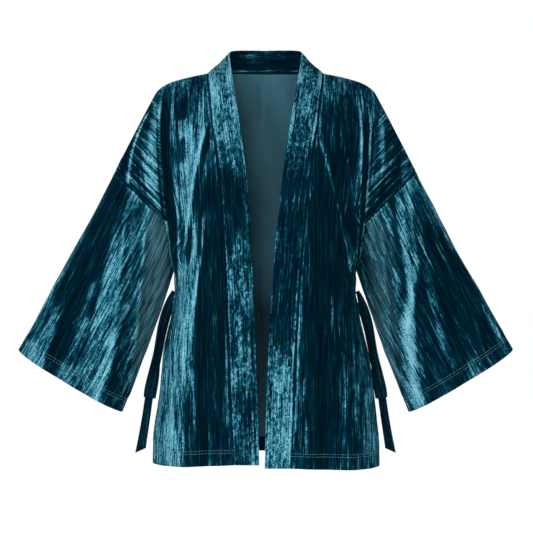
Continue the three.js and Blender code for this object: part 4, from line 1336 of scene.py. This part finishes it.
def crushed_velvet(name, stops, streak, strand, mottle):
    """Velvet crushed along its grain: pale and nearly black patches with broken edges, and fine lines.

    streak, strand and mottle are the patches' widths and lengths in millimetres, and how strong they are.
    """
    f = Finish(name)
    place = f.grain()
    streaks = f.noise(place, streak[0], streak[1], 3.0, 0.55)
    strands = f.noise(place, strand[0], strand[1], 3.0, 0.6)
    mottles = f.noise(place, mottle[0], mottle[1], 4.0, 0.6, 0.5)
    flecks = f.noise(place, 1.3, 4.5, 2.0, 0.6)
    ribs = f.noise(place, 1.8, 90, 2.0, 0.6)
    dark_lines = f.lines(place, 5.2, 110, 0.07)
    light_lines = f.lines(place, 7.0, 130, 0.05)
    # The pile attribute carries the placed tone of the pile together with painted highlights and shade.
    pile_and_painted_light = f.attribute("pile_and_painted_light")
    raised = f.between(pile_and_painted_light, -0.8, 0.35)
    crushed = 0.22 + 0.78 * raised - 0.4 * f.between(pile_and_painted_light, 0.2, 0.6)
    value = (
        0.365 + 0.42 * pile_and_painted_light
        + (streaks - 0.5) * streak[2]
        + (strands - 0.5) * strand[2]
        + (mottles - 0.5) * crushed * mottle[2]
        + 0.18 * (flecks - 0.5)
        + 0.5 * (ribs - 0.5)
    )
    value = value + 0.12 * light_lines - 0.12 * dark_lines
    # Pits and fine cracks break up the edges of the pale patches.
    pits = f.between(f.noise(place, 2.2, 4.0, 1.0), 0.58, 0.66)
    cracks = f.lines(place, 3.8, 22, 0.05) * f.between(strands, 0.45, 0.6)
    value = value - (0.27 * pits + 0.07 * cracks) * f.between(value, 0.42, 0.62)
    # The darkest velvet still shows its ribs.
    darkest = 0.155 + 0.85 * (ribs - 0.5) + 0.2 * (strands - 0.5)
    velvet = f.ramp(value.at_least(darkest), stops)
    # Where the pile lies flat, the ribs show on a greyer velvet.
    rib_value = 0.54 + 0.9 * (ribs - 0.5) + 0.5 * (streaks - 0.5) + 0.45 * (strands - 0.5)
    rib_value = rib_value - 0.4 * dark_lines
    ribbed = f.ramp(rib_value, RIB_STOPS)
    colour = f.blend(f.between(f.attribute("ribs"), 0.25, 0.95), velvet, ribbed)
    pale = f.between(value, 0.4, 0.75)
    height = 0.9 * ribs + 0.5 * streaks + 0.35 * flecks - 0.8 * dark_lines + 0.3 * light_lines
    return f.finish(
        colour, 0.72 - 0.16 * pale, height, distance=0.55, sheen=0.03, sheen_roughness=0.35, gloss=0.0,
    )


def velvet_reverse(name):
    """Smooth slate knit back of the velvet, with fine ribs."""
    f = Finish(name)
    place = f.grain()
    ribs = f.noise(place, 0.9, 30, 2.0)
    clouds = f.noise(place, 60, 110, 2.0)
    # The pile attribute brings the painted shade and highlights of the inner faces, darkest low inside the
    # back.
    value = 0.5 + 0.35 * (ribs - 0.5) + 0.5 * (clouds - 0.5) + 0.3 * f.attribute("pile_and_painted_light")
    colour = f.ramp(value, REVERSE_STOPS)
    return f.finish(
        colour, 0.85 - 0.05 * clouds, ribs, distance=0.15, sheen=0.04, sheen_roughness=0.5, gloss=0.04,
    )


def thread(name):
    f = Finish(name)
    place = f.node("ShaderNodeTexCoord", None, None, output=3)
    twist = f.node("ShaderNodeTexNoise", {"noise_dimensions": "3D"},
                   {"Vector": place, "Scale": STITCH["twist"], "Detail": 1.0})
    colour = f.ramp(twist, THREAD_STOPS)
    return f.finish(
        colour, 0.45 + 0.2 * twist, twist, distance=0.1, sheen=0.2, sheen_roughness=0.4, gloss=0.4,
    )


# Stitches by Geometry Nodes

def stitch_tree(finish):
    """Twin-needle stitches along the paths of a mesh of edges, lying on the cloth."""
    nodes = Nodes(bpy.data.node_groups.new("stitches", "GeometryNodeTree"))
    sockets = nodes.tree.interface
    sockets.new_socket(name="Geometry", in_out="INPUT", socket_type="NodeSocketGeometry")
    for name, kind, value in (
        ("Pitch", "NodeSocketFloat", STITCH["pitch"] * MM),
        ("Length", "NodeSocketFloat", STITCH["length"] * MM),
        ("Thickness", "NodeSocketFloat", STITCH["thick"] * MM),
        ("Seed", "NodeSocketInt", STITCH["seed"]),
    ):
        sockets.new_socket(name=name, in_out="INPUT", socket_type=kind).default_value = value
    sockets.new_socket(name="Geometry", in_out="OUTPUT", socket_type="NodeSocketGeometry")
    add = nodes.node
    path, pitch, length, thick, seed = (
        add("NodeGroupInput", output=name) for name in ("Geometry", "Pitch", "Length", "Thickness", "Seed")
    )
    curve = add("GeometryNodeMeshToCurve", None, {"Mesh": path})
    even = add("GeometryNodeResampleCurve", {"mode": "LENGTH"}, {"Curve": curve, "Length": pitch})
    tangent = add("GeometryNodeInputTangent")
    facing = add("GeometryNodeInputNamedAttribute", {"data_type": "FLOAT_VECTOR"}, {"Name": "facing"})
    lengthwise = add("FunctionNodeAlignRotationToVector", {"axis": "X"}, {"Vector": tangent})
    upright = add("FunctionNodeAlignRotationToVector", {"axis": "Z", "pivot_axis": "X"},
                  {"Rotation": lengthwise, "Vector": facing})
    size = add("ShaderNodeCombineXYZ", None, {"X": length, "Y": thick, "Z": thick})
    uneven_size = add("FunctionNodeRandomValue", {"data_type": "FLOAT"},
                      {2: STITCH["shortest"], 3: STITCH["longest"], "Seed": seed}, output=1)
    scale = add("ShaderNodeVectorMath", {"operation": "SCALE"}, {"Vector": size, "Scale": uneven_size})
    bead = add("GeometryNodeMeshUVSphere", None,
               {"Segments": STITCH["sides"], "Rings": STITCH["rings"], "Radius": 0.5})
    stitches = add("GeometryNodeInstanceOnPoints", None,
                   {"Points": even, "Instance": bead, "Rotation": upright, "Scale": scale})
    real = add("GeometryNodeRealizeInstances", None, {0: stitches})
    dressed = add("GeometryNodeSetMaterial", None, {"Geometry": real, "Material": finish})
    add("NodeGroupOutput", None, {0: dressed})
    return nodes.tree


def stitched(name, paths, finish):
    """One mesh of stitches along paths, each given as its points and the way the cloth faces there."""
    vertices = np.concatenate([line for line, facing in paths]) * MM
    facings = np.concatenate([facing for line, facing in paths])
    edges = []
    first = 0
    for line, facing in paths:
        edges.extend((first + i, first + i + 1) for i in range(len(line) - 1))
        first += len(line)
    mesh = bpy.data.meshes.new(name + "_paths")
    mesh.from_pydata(vertices.tolist(), edges, [])
    attribute = mesh.attributes.new("facing", "FLOAT_VECTOR", "POINT")
    attribute.data.foreach_set("vector", facings.astype(np.float32).ravel())
    carrier = placed(name + "_paths", mesh)
    modifier = carrier.modifiers.new("stitches", "NODES")
    modifier.node_group = stitch_tree(finish)
    for item in modifier.node_group.interface.items_tree:
        if item.in_out == "INPUT" and item.name in ("Pitch", "Length", "Thickness", "Seed"):
            modifier[item.identifier] = item.default_value
    evaluated = carrier.evaluated_get(bpy.context.evaluated_depsgraph_get())
    made = bpy.data.objects.new(name, bpy.data.meshes.new_from_object(evaluated))
    carrier.modifiers.remove(modifier)
    bpy.data.objects.remove(carrier)
    bpy.context.scene.collection.objects.link(made)
    made.data.shade_smooth()
    return made


def row_at(wall, edge, above):
    """Line across a wall at a distance from its first or last row, a stitch's lift off the cloth."""
    normals = normals_of(wall.grid, wall.outward, wall.closed)
    face = wall.grid + normals * (STITCH["lift"] - wall.faces_in_depth()[0])[..., None]
    distance = wall.edge_distances()[edge][:, wall.grid.shape[1] // 2]
    order = -1 if edge == "last row" else 1
    row = np.interp(order * above, order * distance, np.arange(len(distance)))
    low = int(row)
    return mix(face[low], face[low + 1], row - low), mix(normals[low], normals[low + 1], row - low)


# Light, floor and camera

def set_stage():
    scene = bpy.context.scene
    scene.view_settings.view_transform = "Standard"
    lens = bpy.data.cameras.new("camera")
    lens.lens = CAMERA["lens"]
    lens.sensor_width = CAMERA["sensor"]
    lens.clip_end = CAMERA["reach"]
    camera = placed("camera", lens)
    camera.location = CAMERA["place"]
    camera.rotation_euler = (math.pi / 2, 0, 0)
    scene.camera = camera

    f = Finish("floor_paint")
    tone = f.noise(f.node("ShaderNodeTexCoord", None, None, output=3), *FLOOR["clouds"], 2.0)
    shader = f.node("ShaderNodeBsdfPrincipled", None, {
        "Base Color": f.ramp(tone, FLOOR_STOPS),
        "Roughness": 0.9,
        "Emission Color": (1, 1, 1, 1),
        "Emission Strength": STUDIO["floor glow"],
    })
    f.node("ShaderNodeOutputMaterial", None, {"Surface": shader})
    half = FLOOR["half"]
    corners = [(x * half, y * half, FLOOR["z"]) for x, y in ((-1, -1), (1, -1), (1, 1), (-1, 1))]
    floor = mesh_object("floor", np.array(corners), np.array([[0, 1, 2, 3]]))
    floor.data.materials.append(f.material)

    world = bpy.data.worlds.new("studio")
    world.use_nodes = True
    air = world.node_tree
    seen = air.nodes.new("ShaderNodeLightPath").outputs["Is Camera Ray"]
    glow = air.nodes.new("ShaderNodeMapRange")
    glow.inputs["To Min"].default_value = STUDIO["round light"]
    glow.inputs["To Max"].default_value = STUDIO["backdrop"]
    air.links.new(seen, glow.inputs["Value"])
    air.links.new(glow.outputs[0], air.nodes["Background"].inputs["Strength"])
    air.nodes["Background"].inputs["Color"].default_value = (1, 1, 1, 1)
    scene.world = world

    for name, place, wide, power in LIGHTS:
        light = bpy.data.lights.new(name, "AREA")
        light.size = wide
        light.energy = power
        lamp = placed(name, light)
        lamp.location = place
        lamp.rotation_euler = (Vector(LIT_PLACE) - Vector(place)).to_track_quat("-Z", "Y").to_euler()


def keep(piece, node, slot, flat, area=None):
    """Attaches a piece to the root and hides the solid that it stands for. How it is cut, flat in metres and
    area in square metres, is not used.
    """
    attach(piece, "root")
    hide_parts(node)


set_stage()

VELVET = crushed_velvet("crushed_velvet", VELVET_STOPS, (8, 75, 0.60), (2.4, 34, 0.65), (4.0, 11, 0.70))
BAND_VELVET = crushed_velvet("neckband_velvet", VELVET_STOPS, (8, 55, 0.50), (2.6, 26, 0.35), (4.8, 9, 1.15))
TIE_VELVET = crushed_velvet("tie_velvet", TIE_STOPS, (5, 60, 0.4), (2.4, 34, 0.3), (3, 8, 0.4))
REVERSE = velvet_reverse("velvet_reverse")
THREAD = thread("thread")

body = (front(RIGHT), front(LEFT), back())
sleeves = (sleeve(RIGHT), sleeve(LEFT))
bands = (neckband(RIGHT), neckband(LEFT))

for walls, slot, materials in (
    (body + sleeves, "velvet", (VELVET, REVERSE)),
    (bands, "neckband", (BAND_VELVET, BAND_VELVET)),
):
    for wall in walls:
        node = wall.name.removesuffix("_velvet")
        keep(wall.build(materials), node, slot, *CUTS[node])

for sign in (RIGHT, LEFT):
    for form, rows, slant in (("tie_loop", TIE_LOOP, 0), ("tie_tail", TIE_TAIL, TAIL_SLANT)):
        node = f"{form}_{SIDE[sign]}"
        keep(strap(f"{node}_velvet", rows, sign, slant, TIE_VELVET), node, "tie", CUTS[form])

paths = [
    row_at(wall, edge, above)
    for walls, edge in ((body, "first row"), (sleeves, "last row"))
    for wall in walls
    for above in (HEM - STITCH["apart"], HEM)
]
stitches = stitched("hem_stitches", paths, THREAD)
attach(stitches, "root")
